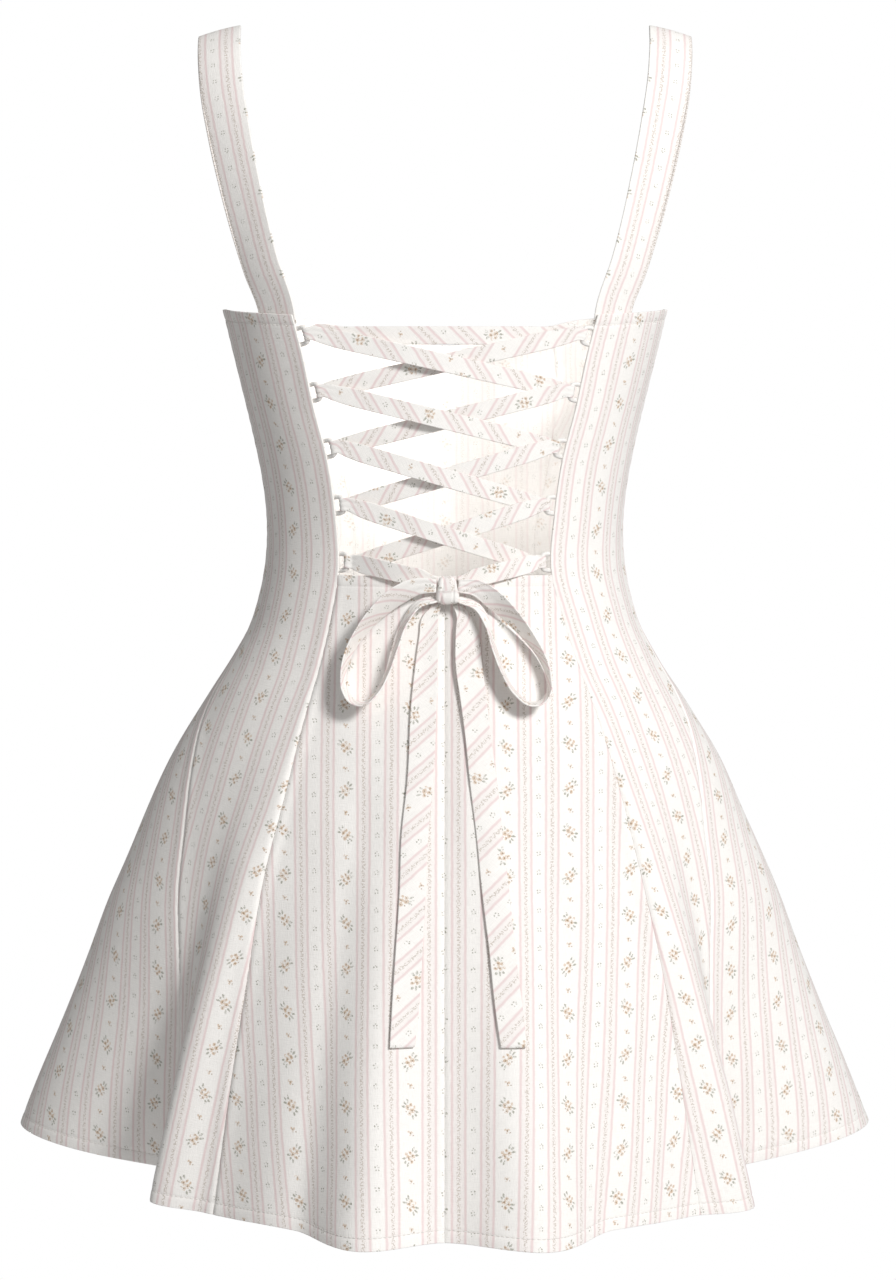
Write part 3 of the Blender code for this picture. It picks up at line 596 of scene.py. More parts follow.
    def seam(self, seam: Seam, side: Side, level: np.ndarray) -> np.ndarray:
        """Azimuths of a seam at some levels."""
        height = self.nominal_height(level)
        if seam is Seam.BACK_MIDDLE:
            return np.zeros_like(level)
        if seam is Seam.BACK:
            column = 1 if side is Side.LEFT else 2
            return self.azimuth_at(side.value * smooth_table(self.back_line, column, height), height)
        if seam is Seam.SIDE:
            return side.value * smooth_table(self.side_line, 1, height)
        across = smooth_table(self.front_line, 1, height)
        turns = np.broadcast_to(np.linspace(180.0, 130.0, 100), (len(level), 100))
        reach = np.abs(self.point(side.value * turns, height[:, None])[..., 0])
        return side.value * read_rows(across[:, None], reach, turns)[:, 0]

    def set_in(self, azimuth: np.ndarray, level: np.ndarray, towards: int) -> np.ndarray:
        """Edge moved by half a seam gap, measured along the cloth, towards its own panel."""
        height = self.level_height(level, azimuth)
        step = self.point(azimuth + 0.1, height) - self.point(azimuth - 0.1, height)
        pace = np.linalg.norm(step, axis=-1) / 0.2
        return azimuth + towards * self.seam_gap / 2 / pace


@dataclass
class Shell:
    """A closed thin sheet: an outer face, an inner face and a rounded rim between them.

    Attributes:
        outer: Grid of points of the outer face.
        inner: Grid of points of the inner face.
        chart: Grid of cloth map coordinates.
        rounding: How far the rim's middle stands beyond the faces' edges.
    """

    outer: np.ndarray
    inner: np.ndarray
    chart: np.ndarray
    rounding: float = 0.00012

    @classmethod
    def of_sheet(cls, middle: np.ndarray, thickness: float, chart: np.ndarray) -> "Shell":
        """Shell with half its thickness on each side of a middle surface."""
        offset = grid_normals(middle) * thickness / 2
        return cls(middle + offset, middle - offset, chart, thickness * 0.3)

    def make(self, name: str, face: bpy.types.Material, reverse: bpy.types.Material) -> bpy.types.Object:
        """Build the piece.

        The rim's middle is the mean of both faces' edges, moved outward from the nearest inner
        point of the grid.

        Args:
            name: Name of the piece.
            face: Material of the outer face and the rim.
            reverse: Material of the inner face.

        Returns:
            The new object, linked to the scene.
        """
        rows, columns = self.outer.shape[:2]
        count = rows * columns
        corner = (np.arange(rows - 1)[:, None] * columns + np.arange(columns - 1)).ravel()
        quads = np.stack([corner, corner + columns, corner + columns + 1, corner + 1], axis=-1)
        along, down = np.arange(columns - 1), np.arange(rows - 1)
        row = np.concatenate([0 * along, down, 0 * along + rows - 1, down[::-1] + 1])
        column = np.concatenate([along, 0 * down + columns - 1, along[::-1] + 1, 0 * down])
        rim = row * columns + column
        middle = (self.outer + self.inner) / 2
        within = middle[np.clip(row, 1, rows - 2), np.clip(column, 1, columns - 2)]
        edge = middle[row, column] + unit(middle[row, column] - within) * self.rounding
        edge_index = 2 * count + np.arange(len(rim))
        rim_next, edge_next = np.roll(rim, -1), np.roll(edge_index, -1)
        upper = np.stack([rim, rim_next, edge_next, edge_index], axis=-1)
        lower = np.stack([edge_index, edge_next, rim_next + count, rim + count], axis=-1)
        faces = np.concatenate([quads, quads[:, ::-1] + count, upper, lower])
        points = np.concatenate([self.outer.reshape(-1, 3), self.inner.reshape(-1, 3), edge])
        middle_quad = quads[len(quads) // 2]
        turn = np.cross(points[middle_quad[1]] - points[middle_quad[0]],
                        points[middle_quad[3]] - points[middle_quad[0]])
        if np.dot(turn, points[middle_quad[0]] - points[middle_quad[0] + count]) < 0:
            faces = faces[:, ::-1]
        kinds = np.zeros(len(faces), int)
        kinds[len(quads):2 * len(quads)] = 1
        flat = self.chart.reshape(-1, 2)
        charts = np.concatenate([flat, flat, self.chart[row, column]])
        return make_mesh(name, points, faces.tolist(), charts, [face, reverse], kinds)


def make_mesh(
    name: str,
    points: np.ndarray,
    faces: list,
    charts: np.ndarray,
    materials: list,
    kinds: np.ndarray | None = None,
) -> bpy.types.Object:
    """Mesh object with a cloth map and smooth shading.

    Args:
        name: Name of the piece.
        points: Vertices.
        faces: Vertex numbers of each face.
        charts: Cloth map coordinates of each vertex.
        materials: Materials of the piece.
        kinds: Material number of each face, or nothing for one material.

    Returns:
        The new object, linked to the scene.
    """
    mesh = bpy.data.meshes.new(name)
    mesh.from_pydata(points.tolist(), [], faces)
    corners = np.empty(len(mesh.loops), int)
    mesh.loops.foreach_get("vertex_index", corners)
    layer = mesh.uv_layers.new(name="cloth")
    layer.data.foreach_set("uv", charts[corners].ravel())
    mesh.polygons.foreach_set("use_smooth", np.ones(len(faces), bool))
    for material in materials:
        mesh.materials.append(material)
    if kinds is not None:
        mesh.polygons.foreach_set("material_index", kinds)
    mesh.update()
    item = bpy.data.objects.new(name, mesh)
    bpy.context.scene.collection.objects.link(item)
    return item


def place(item: bpy.types.Object, slot: str, *nodes: str) -> bpy.types.Object:
    """Let a piece ride on the dress and stand for some nodes."""
    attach(item, BODY)
    if nodes:
        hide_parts(*nodes)
    LOG.info("%s: %d faces", item.name, len(item.data.polygons))
    return item


@dataclass(frozen=True)
class Stitches:
    """Lines of machine stitches, each a short rounded dash of thread."""

    length: float = 0.0025
    pitch: float = 0.0033
    half_width: float = 0.00030
    half_height: float = 0.00022
    sides: int = 6
    rings: tuple[float, ...] = (-0.9, -0.5, 0.5, 0.9)

    def make(
        self, name: str, path: np.ndarray, normals: np.ndarray, thread: bpy.types.Material
    ) -> bpy.types.Object:
        """Build a line of stitches along a path on the cloth.

        Each dash is a set of rings whose radius is the square root of one less the fourth power
        of the place along it, closed at both ends by a pole.

        Args:
            name: Name of the piece.
            path: Points of the seam line on the cloth.
            normals: Outward normals there.
            thread: Material.

        Returns:
            The new object.
        """
        along = arc_lengths(path, 0)
        centres = np.arange(self.pitch, along[-1] - self.pitch / 2, self.pitch)
        spots = np.stack([np.interp(centres, along, value) for value in path.T], axis=-1)
        tangent = np.gradient(path, along, axis=0)
        travel = unit(np.stack([np.interp(centres, along, value) for value in tangent.T], axis=-1))
        outward = unit(np.stack([np.interp(centres, along, value) for value in normals.T], axis=-1))
        aside = np.cross(travel, outward)
        stations = np.array([-1.0, *np.repeat(self.rings, self.sides), 1.0])
        angle = np.array([0.0, *np.tile(np.arange(self.sides) * 2 * np.pi / self.sides, len(self.rings)), 0.0])
        radius = np.sqrt(np.maximum(1 - stations ** 4, 0.0))
        template = np.stack([
            stations * self.length / 2,
            np.cos(angle) * radius * self.half_width,
            np.sin(angle) * radius * self.half_height,
        ], axis=-1)
        axes = np.stack([travel, aside, outward], axis=1)
        points = spots[:, None] + np.einsum("pk,skx->spx", template, axes)
        count = len(template)
        faces = []
        ring = np.arange(self.sides)
        after = np.roll(ring, -1)
        for index in range(len(self.rings) - 1):
            low, high = 1 + index * self.sides, 1 + (index + 1) * self.sides
            faces += np.stack([ring + low, after + low, after + high, ring + high], axis=-1).tolist()
        faces += np.stack([0 * ring, after + 1, ring + 1], axis=-1).tolist()
        last = count - 1 - self.sides
        faces += np.stack([0 * ring + count - 1, ring + last, after + last], axis=-1).tolist()
        copies = [[corner + step for corner in face] for step in range(0, count * len(spots), count)
                  for face in faces]
        charts = np.tile(template[:, :2], (len(spots), 1))
        return make_mesh(name, points.reshape(-1, 3), copies, charts, [thread])


@dataclass(frozen=True)
class Cut:
    """One cut panel of the dress.

    Attributes:
        name: Node that the panel stands for.
        low: Seam and side of its edge at the lower azimuth.
        high: Seam and side of its edge at the higher azimuth.
        grain: Edge that its stripes follow.
        phase: Cloth map coordinates of that edge at the waist.
        first: Level of its top edge.
        spread: Slant of the stripes away from that edge below the hip, as a ratio.
    """

    name: str
    low: tuple[Seam, Side]
    high: tuple[Seam, Side]
    grain: Grain
    phase: tuple[float, float]
    first: float = 0.0
    spread: float = 0.0


@dataclass
class Panels:
    """Cut panels of the bodice and the skirt, with their pressed seams and stitched edges."""

    form: DressForm
    finishes: Finishes
    thickness: float = 0.0009
    turning: float = 0.0006
    turning_depth: float = 0.013
    stitch_line: float = 0.0075
    edge_columns: tuple[float, ...] = (0.0, 0.0004, 0.0009, 0.0015, 0.0023, 0.0034, 0.0050)
    edge_rows: tuple[float, ...] = (
        0.0, 0.0005, 0.0012, 0.0024, 0.0042, 0.0058, 0.0067, 0.0071, 0.0075, 0.0079, 0.0083, 0.0093,
        0.0115, 0.0128, 0.0140,
    )
    pace: float = 0.0040
    seam_dip: float = 0.0007
    seam_puff: float = 0.0003
    hip: float = 0.070
    knot_pleat: tuple[float, float, float, float] = (0.0040, -0.381, 0.0085, 0.30)
    cuts: tuple[Cut, ...] = (
        Cut("back_centre_left", (Seam.BACK, Side.LEFT), (Seam.BACK_MIDDLE, Side.LEFT),
            Grain.HIGH, (0.0227, 0.0), 1.0),
        Cut("back_centre_right", (Seam.BACK_MIDDLE, Side.RIGHT), (Seam.BACK, Side.RIGHT),
            Grain.LOW, (-0.0410, 0.0), 1.0),
        Cut("back_side_left", (Seam.SIDE, Side.LEFT), (Seam.BACK, Side.LEFT),
            Grain.HIGH, (0.0390, 0.0), 0.0, 0.08),
        Cut("back_side_right", (Seam.BACK, Side.RIGHT), (Seam.SIDE, Side.RIGHT),
            Grain.LOW, (-0.0390, 0.0), 0.0, -0.08),
        Cut("side_front_left", (Seam.FRONT, Side.LEFT), (Seam.SIDE, Side.LEFT),
            Grain.HIGH, (0.0200, 0.0)),
        Cut("side_front_right", (Seam.SIDE, Side.RIGHT), (Seam.FRONT, Side.RIGHT),
            Grain.LOW, (-0.0200, 0.0)),
        Cut("front_centre", (Seam.FRONT, Side.RIGHT), (Seam.FRONT, Side.LEFT), Grain.MIDDLE, (0.0, 0.0)),
    )

    def levels(self, first: float) -> np.ndarray:
        """Levels of a panel's rows, close together by its free edges."""
        close = np.array(self.edge_rows)
        bodice = self.form.top_level - self.form.opening_foot
        skirt = self.form.opening_foot - self.form.hem_level
        if first < 1:
            steps = round((bodice - close[-1]) / self.pace)
            top = np.concatenate([close / bodice, np.linspace(close[-1] / bodice, 1.0, steps)[1:]])
        else:
            top = 1 + close / skirt
        hem = 2 - close[::-1] / skirt
        steps = round((hem[0] - top[-1]) * skirt / self.pace)
        return np.concatenate([top, np.linspace(top[-1], hem[0], steps)[1:-1], hem])

    def columns(self, widths: np.ndarray) -> np.ndarray:
        """Distances across each row, close together by both edges and even between them."""
        close = np.array(self.edge_columns)
        steps = max(4, round((widths.max() - 2 * close[-1]) / self.pace))
        even = np.linspace(close[-1], widths - close[-1], steps, axis=1)[:, 1:-1]
        left = np.broadcast_to(close, (len(widths), len(close)))
        return np.concatenate([left, even, widths[:, None] - left[:, ::-1]], axis=1)

    def azimuths(self, cut: Cut, levels: np.ndarray) -> np.ndarray:
        """Azimuth of every point of a panel's grid, read back from distances along its rows."""
        low = self.form.seam(*cut.low, levels)
        high = self.form.seam(*cut.high, levels)
        high = np.where(high < low, high + 360.0, high)
        low = self.form.set_in(low, levels, 1)
        high = self.form.set_in(high, levels, -1)
        turns = np.linspace(low, high, 160, axis=1)
        heights = self.form.level_height(levels[:, None], turns)
        along = arc_lengths(self.form.point(turns, heights), 1)
        return read_rows(self.columns(along[:, -1]), along, turns)

    def relief(
        self, cut: Cut, levels: np.ndarray, low: np.ndarray, high: np.ndarray,
        top: np.ndarray, hem: np.ndarray, points: np.ndarray
    ) -> np.ndarray:
        """How far the cloth stands out: pressed seams, stitched edges and long soft ripples.

        Args:
            cut: The panel.
            levels: Level of each row.
            low: Distance of each point from the edge at the lower azimuth.
            high: Distance from the edge at the higher azimuth.
            top: Distance below the top edge.
            hem: Distance above the hem.
            points: The points themselves.

        Returns:
            Height of each point above the form.
        """
        stand = np.zeros(points.shape[:2])
        for (seam, _), distance in ((cut.low, low), (cut.high, high)):
            sewn = ease(levels, 1.0, 1.02)[:, None] if seam is Seam.BACK else 1.0
            pressed = self.seam_puff * bump_at(distance, 0.0038, 0.0022)
            pressed = pressed - self.seam_dip * bump_at(distance, 0.0, 0.0011)
            pucker = 1 + 0.35 * np.sin(points[..., 2] * 2 * np.pi / 0.011 + 2 * np.sin(points[..., 2] * 90))
            stand = stand + pressed * sewn * pucker
        for distance in (top, hem):
            line = bump_at(distance, self.stitch_line, 0.0008)
            stand = stand - 0.00030 * line + 0.00016 * bump_at(distance, self.stitch_line * 0.5, 0.0026)
        x, y, z = points[..., 0], points[..., 1], points[..., 2]
        ripple = np.sin(x * 95 + 2.2 * np.sin(z * 21 + y * 9)) * np.sin(z * 33 + 3 * np.sin(x * 17))
        ripple = ripple + 0.6 * np.sin(x * 47 - z * 61 + 1.7 * np.sin(z * 13))
        inside = np.minimum(np.minimum(low, high), np.minimum(top, hem))
        depth, height, half, fade = self.knot_pleat
        fall = height - z
        pleat = depth * bump_at(x, 0.0, half) * ease(fall, 0.0, 0.02) * ease(fall, fade, 0.03) * (y < 0)
        return stand + 0.00034 * ripple * ease(inside, 0.0, 0.014) - pleat

    def make(self) -> None:
        """Build every panel and its stitching."""
        for cut in self.cuts:
            self.make_panel(cut)

    def make_panel(self, cut: Cut) -> None:
        """Build one panel: its grid on the form, relief, turnings, cloth map and stitches."""
        levels = self.levels(cut.first)
        azimuth = self.azimuths(cut, levels)
        height = self.form.level_height(levels[:, None], azimuth)
        face = self.form.point(azimuth, height)
        normal = self.form.normal(azimuth, height)
        along = arc_lengths(face, 1)
        down = arc_lengths(face, 0)
        low, high = along, along[:, -1:] - along
        top, hem = down, down[-1:] - down
        stand = self.relief(cut, levels, low, high, top, hem, face)
        outer = face + normal * stand[..., None]
        turned = np.maximum(
            ease(top, self.turning_depth, self.turning_depth - 0.0012),
            ease(hem, self.turning_depth, self.turning_depth - 0.0012),
        )
        for (seam, _), distance in ((cut.low, low), (cut.high, high)):
            if seam is Seam.BACK and cut.first < 1:
                open_edge = ease(levels, 1.01, 1.0)[:, None]
                turned = np.maximum(turned, open_edge * ease(distance, self.turning_depth, 0.0118))
        thickness = self.thickness + self.turning * turned
        inner = outer - normal * thickness[..., None]
        waist = int(np.argmin(np.abs(levels - 1)))
        fall = down - down[waist:waist + 1]
        slant = cut.spread * np.maximum(fall - self.hip, 0.0)
        across = along - along[:, -1:] * cut.grain.value + cut.phase[0] + slant
        chart = np.stack([across, fall + cut.phase[1]], axis=-1)
        panel = Shell(outer, inner, chart).make(cut.name + "_cloth", self.finishes.cotton, self.finishes.reverse)
        place(panel, "cotton", cut.name)
        line = self.edge_rows.index(self.stitch_line)
        stitches = Stitches()
        lifted = outer + normal * 0.00008
        rows = {"hem": len(levels) - 1 - line}
        if cut.first < 1:
            rows["top"] = line
        for word, row in rows.items():
            name = f"{word}_stitches_{cut.name}"
            place(stitches.make(name, lifted[row], normal[row], self.finishes.thread), "cotton")


@dataclass
class Straps:
    """Shoulder straps: folded bands of the dress's cotton, tucked inside the bodice's top edge."""

    form: DressForm
    finishes: Finishes
    width: float = 0.030
    thickness: float = 0.0015
    tuck: float = 0.008
    sag: float = 0.0009
    feet: Table = ((0.1170, 0.0031, 36.0), (0.1256, 0.0037, -43.0))
    sprig_column: float = 0.0105
    steps: int = 150
    stations: tuple[float, ...] = (
        0.0, 0.015, 0.04, 0.075, 0.12, 0.2, 0.3, 0.4, 0.5, 0.6, 0.7, 0.8, 0.88, 0.925, 0.96, 0.985, 1.0,
    )
    route: Table = (
        (0.1267, -0.0610, -0.1662, 34.0, 0.0), (0.1352, -0.0580, -0.1351, 31.0, 1.0),
        (0.1416, -0.0540, -0.1081, 27.0, 3.0), (0.1496, -0.0470, -0.0697, 21.0, 6.0),
        (0.1549, -0.0375, -0.0400, 14.0, 11.0), (0.1575, -0.0240, -0.0150, 7.0, 14.0),
        (0.1588, 0.0000, 0.0000, 0.0, 15.5), (0.1610, 0.0240, -0.0150, -7.0, 14.0),
        (0.1603, 0.0375, -0.0400, -14.0, 11.0), (0.1561, 0.0470, -0.0697, -21.0, 6.0),
        (0.1487, 0.0540, -0.1081, -29.0, 3.0), (0.1425, 0.0580, -0.1351, -35.0, 1.0),
        (0.1339, 0.0610, -0.1662, -40.0, 0.0),
    )

    def foot(self, front: bool) -> list[tuple[float, ...]]:
        """Rows of a strap's foot inside the bodice, from its top edge down."""
        across, seat, turn = self.feet[int(front)]
        turns = np.linspace(0.0, 89.0, 200)
        turns = 180.0 - turns if front else turns
        reach = self.form.point(turns, self.form.level_height(0.0, turns))[..., 0]
        azimuth = float(np.interp(across, reach, turns))
        top = float(self.form.level_height(0.0, azimuth))
        heights = top - np.array([0.0, 0.5, 1.0]) * self.tuck
        points = self.form.point(azimuth, heights) - seat * self.form.normal(azimuth, heights)
        return [(*point, turn, 0.0) for point in points]

    def make(self) -> None:
        """Build both straps as a band carried along the route, its edges eased and its middle softly rippled."""
        rows = [*self.foot(False)[::-1], *self.route, *self.foot(True)]
        route = resample(rows, self.steps)
        turn, tilt = np.radians(route[:, 3]), np.radians(route[:, 4])
        across = np.stack([np.cos(turn) * np.cos(tilt), np.sin(turn) * np.cos(tilt), -np.sin(tilt)], axis=1)
        travel = unit(np.gradient(route[:, :3], axis=0))
        across = unit(across - np.sum(across * travel, axis=1, keepdims=True) * travel)
        inward = np.cross(travel, across)
        station = np.array(self.stations)[None, :, None]
        middle = route[:, None, :3] + across[:, None, :] * (station - 0.5) * self.width
        along = arc_lengths(route[:, :3], 0)
        ripple = np.sin(along * 70 + 2 * np.sin(along * 23))[:, None, None] * 0.0003
        middle = middle + inward[:, None, :] * (self.sag * (2 * station - 1) ** 2 + ripple * station * (1 - station) * 4)
        length = float(along[-1])
        for side in Side:
            grid = middle * np.array([side.value, 1.0, 1.0])
            outside = (1 - station[..., 0]) * self.width + 0 * along[:, None]
            chart = np.stack([outside - self.sprig_column + 0.0224, along[:, None] + 0 * outside], axis=-1)
            shell = Shell.of_sheet(grid, self.thickness, chart)
            name = f"strap_{side.word}"
            strap = shell.make(name + "_cloth", self.finishes.cotton, self.finishes.cotton)
            place(strap, "cotton", name)
        LOG.info("straps %.0f x %.0f mm", self.width * 1e3, length * 1e3)


@dataclass
class Lacing:
    """Cord loops down the laced edges and the ribbon that crosses between them."""

    form: DressForm
    finishes: Finishes
    loops: int = 5
    first_loop: float = -0.2170
    loop_pitch: float = 0.0383
    cord_radius: float = 0.0011
    loop_reach: float = 0.0060
    strand_depth: float = 0.0017
    loop_half: float = 0.0056
    root_depth: float = 0.0029
    ribbon_thickness: float = 0.0010
    ribbon_width: float = 0.0118
    gathered: float = 0.0080
    bulge: float = 0.009
    end_bulge: float = 0.0045
    lean: float = 0.15
    crossings: tuple[float, float] = (0.0044, -0.0012)
    run_steps: int = 18
    top_drop: float = 0.0028
    loop_fullness: float = 1.45
    start: float = 0.0012
    close: float = 0.0017
    end_height: float = -0.3822
    end_width: float = 0.0065
    steps: int = 110
    columns: int = 13

    @property
    def wrap(self) -> float:
        """Distance of the ribbon's middle from the middle of the strand that it goes round."""
        return self.cord_radius + 0.0003 + self.ribbon_thickness / 2

    def edge_frame(self, side: Side, height: float) -> tuple[np.ndarray, ...]:
        """Point on the lacing edge, and directions towards the middle, outward and up the edge."""
        heights = height + np.array([0.002, 0.0, -0.002])
        across = side.value * smooth_table(self.form.back_line, 1, heights)
        azimuth = self.form.azimuth_at(across, heights)
        high, point, low = self.form.point(azimuth, heights)
        up = unit(high - low)
        normal = self.form.normal(float(self.form.azimuth_at(point[0], height)), height)
        normal = unit(normal - np.dot(normal, up) * up)
        return point, np.cross(up, normal) * -side.value, normal, up

    def strand_frame(self, side: Side, index: int) -> tuple[np.ndarray, ...]:
        """Middle of a loop's strand, direction across the opening square to it, outward and up."""
        point, inward, normal, up = self.edge_frame(side, self.first_loop - self.loop_pitch * index)
        centre = point + self.loop_reach * inward - self.strand_depth * normal
        away = np.array([-side.value, -self.lean, 0.0])
        towards = unit(away - np.dot(away, up) * up)
        return centre, towards, np.cross(up, towards) * side.value, up

    def wrap_rows(self, side: Side, index: int) -> list:
        """Start of a run: from behind the strand, round its outer side, to its front."""
        centre, towards, outward, up = self.strand_frame(side, index)
        rows = [(centre + self.start * towards - self.wrap * outward, up, self.gathered)]
        for turn in range(-90, 91, 30):
            angle = math.radians(turn)
            spot = -math.cos(angle) * towards + math.sin(angle) * outward
            rows.append((centre + self.wrap * spot, up, self.gathered))
        rows.append((centre + 0.0035 * towards + self.wrap * outward, up, self.gathered + 0.0008))
        return rows

    def incoming_rows(self, side: Side, index: int) -> list:
        """End of a run, behind the strand and just short of the next run's start."""
        centre, towards, outward, up = self.strand_frame(side, index)
        return [
            (centre + 0.0080 * towards - self.wrap * outward, up, self.gathered + 0.0020),
            (centre + self.close * towards - self.wrap * outward, up, self.gathered),
        ]

    def straight_rows(
        self, start: tuple, end: tuple, bulge: float, lift: float, drop: float = 0.0
    ) -> list:
        """Free part of a run between two rows: bulged outward, lifted at its crossing, and sagging."""
        travel = unit(end[0] - start[0])
        upright = np.array([0.0, 0.0, 1.0])
        square = unit(upright - np.dot(upright, travel) * travel)
        rows = []
        for t in np.linspace(0.0, 1.0, self.run_steps + 1)[1:-1]:
            middle = math.sin(math.pi * t)
            spot = start[0] + (end[0] - start[0]) * t
            spot = spot - np.array([0.0, bulge * middle + lift * middle ** 2, drop * min(1.0, 3 * middle)])
            fullness = min(1.0, 8 * t, 8 * (1 - t))
            across = unit(square * fullness + (start[1] * (1 - t) + end[1] * t) * (1 - fullness))
            narrow = start[2] * (1 - t) + end[2] * t
            rows.append((spot, across, narrow + (self.ribbon_width - narrow) * fullness))
        return rows

    def make_loops(self) -> None:
        """Build the cord loops, each a D that stands off the lacing edge."""
        legs = (
            (-0.0038, self.root_depth, self.loop_half),
            (-0.0006, self.root_depth, self.loop_half),
            (0.0030, 0.0022, self.loop_half - 0.0001),
            (0.0052, 0.0018, self.loop_half - 0.0007),
            (self.loop_reach, self.strand_depth, self.loop_half - 0.0018),
        )
        mirrored = [(inward, depth, -height) for inward, depth, height in reversed(legs)]
        outline = np.array([*legs, (self.loop_reach, self.strand_depth, 0.0), *mirrored])
        for side in Side:
            for index in range(self.loops):
                point, *axes = self.edge_frame(side, self.first_loop - self.loop_pitch * index)
                axes = np.array(axes) * np.array([1.0, -1.0, 1.0])[:, None]
                path = resample(point + outline @ axes, 40)
                radius = self.cord_radius * self.loop_fullness
                name = f"lace_loop_{side.word}_{index + 1}"
                place(make_tube(name + "_cord", path, radius, self.finishes.cord), "loop_cord", name)

    def make_run(self, name: str, rows: list, phase: float) -> None:
        """Build one run of the ribbon from its rows, gathered where it is narrow."""
        flat_rows = np.array([[*spot, *across, width] for spot, across, width in rows])
        ribbon = Ribbon(resample(flat_rows, self.steps), self.ribbon_thickness, self.columns, phase)
        piece = ribbon.make(name + "_ribbon", self.finishes.ribbon, self.ribbon_width)
        place(piece, "ribbon", name)
        ribbon.length

    def make(self, knot: "Bow") -> None:
        """Build the loops, the top run, the crossed runs and the last runs to the knot."""
        self.make_loops()
        first = self.incoming_rows(Side.LEFT, 0)[::-1]
        last = self.incoming_rows(Side.RIGHT, 0)
        middle = self.straight_rows(first[-1], last[0], self.bulge, 0.0, self.top_drop)
        self.make_run("lace_top", [*first, *middle, *last], 0.0)
        ways = ((Side.LEFT, Side.RIGHT, "down_right"), (Side.RIGHT, Side.LEFT, "down_left"))
        for (here, there, word), lift in zip(ways, self.crossings):
            for index in range(self.loops - 1):
                first = self.wrap_rows(here, index)
                last = self.incoming_rows(there, index + 1)
                middle = self.straight_rows(first[-1], last[0], self.bulge, lift)
                phase = 0.017 * index + (0.011 if here is Side.LEFT else 0.0)
                self.make_run(f"lace_{word}_{index + 1}", [*first, *middle, *last], phase)
        upright = np.array([0.0, 0.0, 1.0])
        centre = knot.centre
        for side in Side:
            reach = knot.half[0] + 0.0004
            end = np.array([centre[0] + side.value * reach, centre[1] + knot.half[1] - 0.0021, self.end_height])
            first = self.wrap_rows(side, self.loops - 1)
            last = [
                (end + np.array([side.value * 0.004, 0.0002, 0.0008]), upright, self.end_width + 0.001),
                (end, upright, self.end_width),
            ]
            middle = self.straight_rows(first[-1], last[0], self.end_bulge, 0.0)
            self.make_run(f"lace_end_{side.word}", [*first, *middle, *last], 0.009 * side.value)


@dataclass
class Ribbon:
    """A flat ribbon carried along a path, cut on the bias.

    Attributes:
        rows: Place, direction of the width, and width, along the path.
        thickness: Thickness of the folded ribbon.
        columns: Points across it.
        phase: Where its print starts.
        bias: Turn of the stripes against the ribbon's length.
    """

    rows: np.ndarray
    thickness: float
    columns: int = 13
    phase: float = 0.0
    bias: float = 45.0

    @property
    def length(self) -> float:
        """Length of the ribbon's middle line."""
        return float(arc_lengths(self.rows[:, :3], 0)[-1])

    def make(self, name: str, cloth: bpy.types.Material, full: float) -> bpy.types.Object:
        """Build the ribbon: width square to the path, pleated by a wave where it is narrow."""
        path, across, widths = self.rows[:, :3], self.rows[:, 3:6], self.rows[:, 6]
        travel = unit(np.gradient(path, axis=0))
        across = unit(across - np.sum(across * travel, axis=1, keepdims=True) * travel)
        inward = np.cross(travel, across)
        station = np.sin(np.linspace(-0.5, 0.5, self.columns) * np.pi * 0.94) / (2 * np.sin(np.pi * 0.47))
        slack = np.clip(1 - widths / full, 0.0, 1.0)[:, None]
        pleat = np.cos(station[None, :] * 2 * np.pi * 2.5) * slack * 0.0007
        grid = path[:, None] + across[:, None] * (station * widths[:, None])[..., None]
        grid = grid + inward[:, None] * pleat[..., None]
        along = arc_lengths(path, 0)[:, None] + 0 * station[None, :]
        wide = station[None, :] * full + 0 * along
        cosine, sine = math.cos(math.radians(self.bias)), math.sin(math.radians(self.bias))
        chart = np.stack([along * cosine + wide * sine + self.phase, wide * cosine - along * sine], axis=-1)
        return Shell.of_sheet(grid, self.thickness, chart).make(name, cloth, cloth)


def make_tube(name: str, path: np.ndarray, radius: float, material: bpy.types.Material) -> bpy.types.Object:
    """Round cord along a path: rings square to it, closed at both ends by a pole."""
    sides = 12
    travel = unit(np.gradient(path, axis=0))
    guide = unit(np.cross(travel[len(travel) // 2], path[0] - path[len(path) // 2]))
    aside = unit(guide - np.sum(guide * travel, axis=1, keepdims=True) * travel)
    other = np.cross(travel, aside)
    angle = np.arange(sides) * 2 * np.pi / sides
    ring = aside[:, None] * np.cos(angle)[None, :, None] + other[:, None] * np.sin(angle)[None, :, None]
    rings = path[:, None] + ring * radius
    poles = np.stack([path[0] - travel[0] * radius * 0.5, path[-1] + travel[-1] * radius * 0.5])
    points = np.concatenate([rings.reshape(-1, 3), poles])
    here = np.arange(sides)
    after = np.roll(here, -1)
    low = (np.arange(len(path) - 1) * sides)[:, None]
    quads = np.stack([here + low, after + low, after + low + sides, here + low + sides], axis=-1)
    count = len(path) * sides
    faces = quads.reshape(-1, 4).tolist()
    faces += np.stack([0 * here + count, after, here], axis=-1).tolist()
    last = count - sides
    faces += np.stack([0 * here + count + 1, here + last, after + last], axis=-1).tolist()
    along = arc_lengths(path, 0)
    chart = np.stack([np.broadcast_to(angle * radius, (len(path), sides)),
                      np.broadcast_to(along[:, None], (len(path), sides))], axis=-1).reshape(-1, 2)
    charts = np.concatenate([chart, [[0.0, 0.0], [0.0, along[-1]]]])
    return make_mesh(name, points, faces, charts, [material])


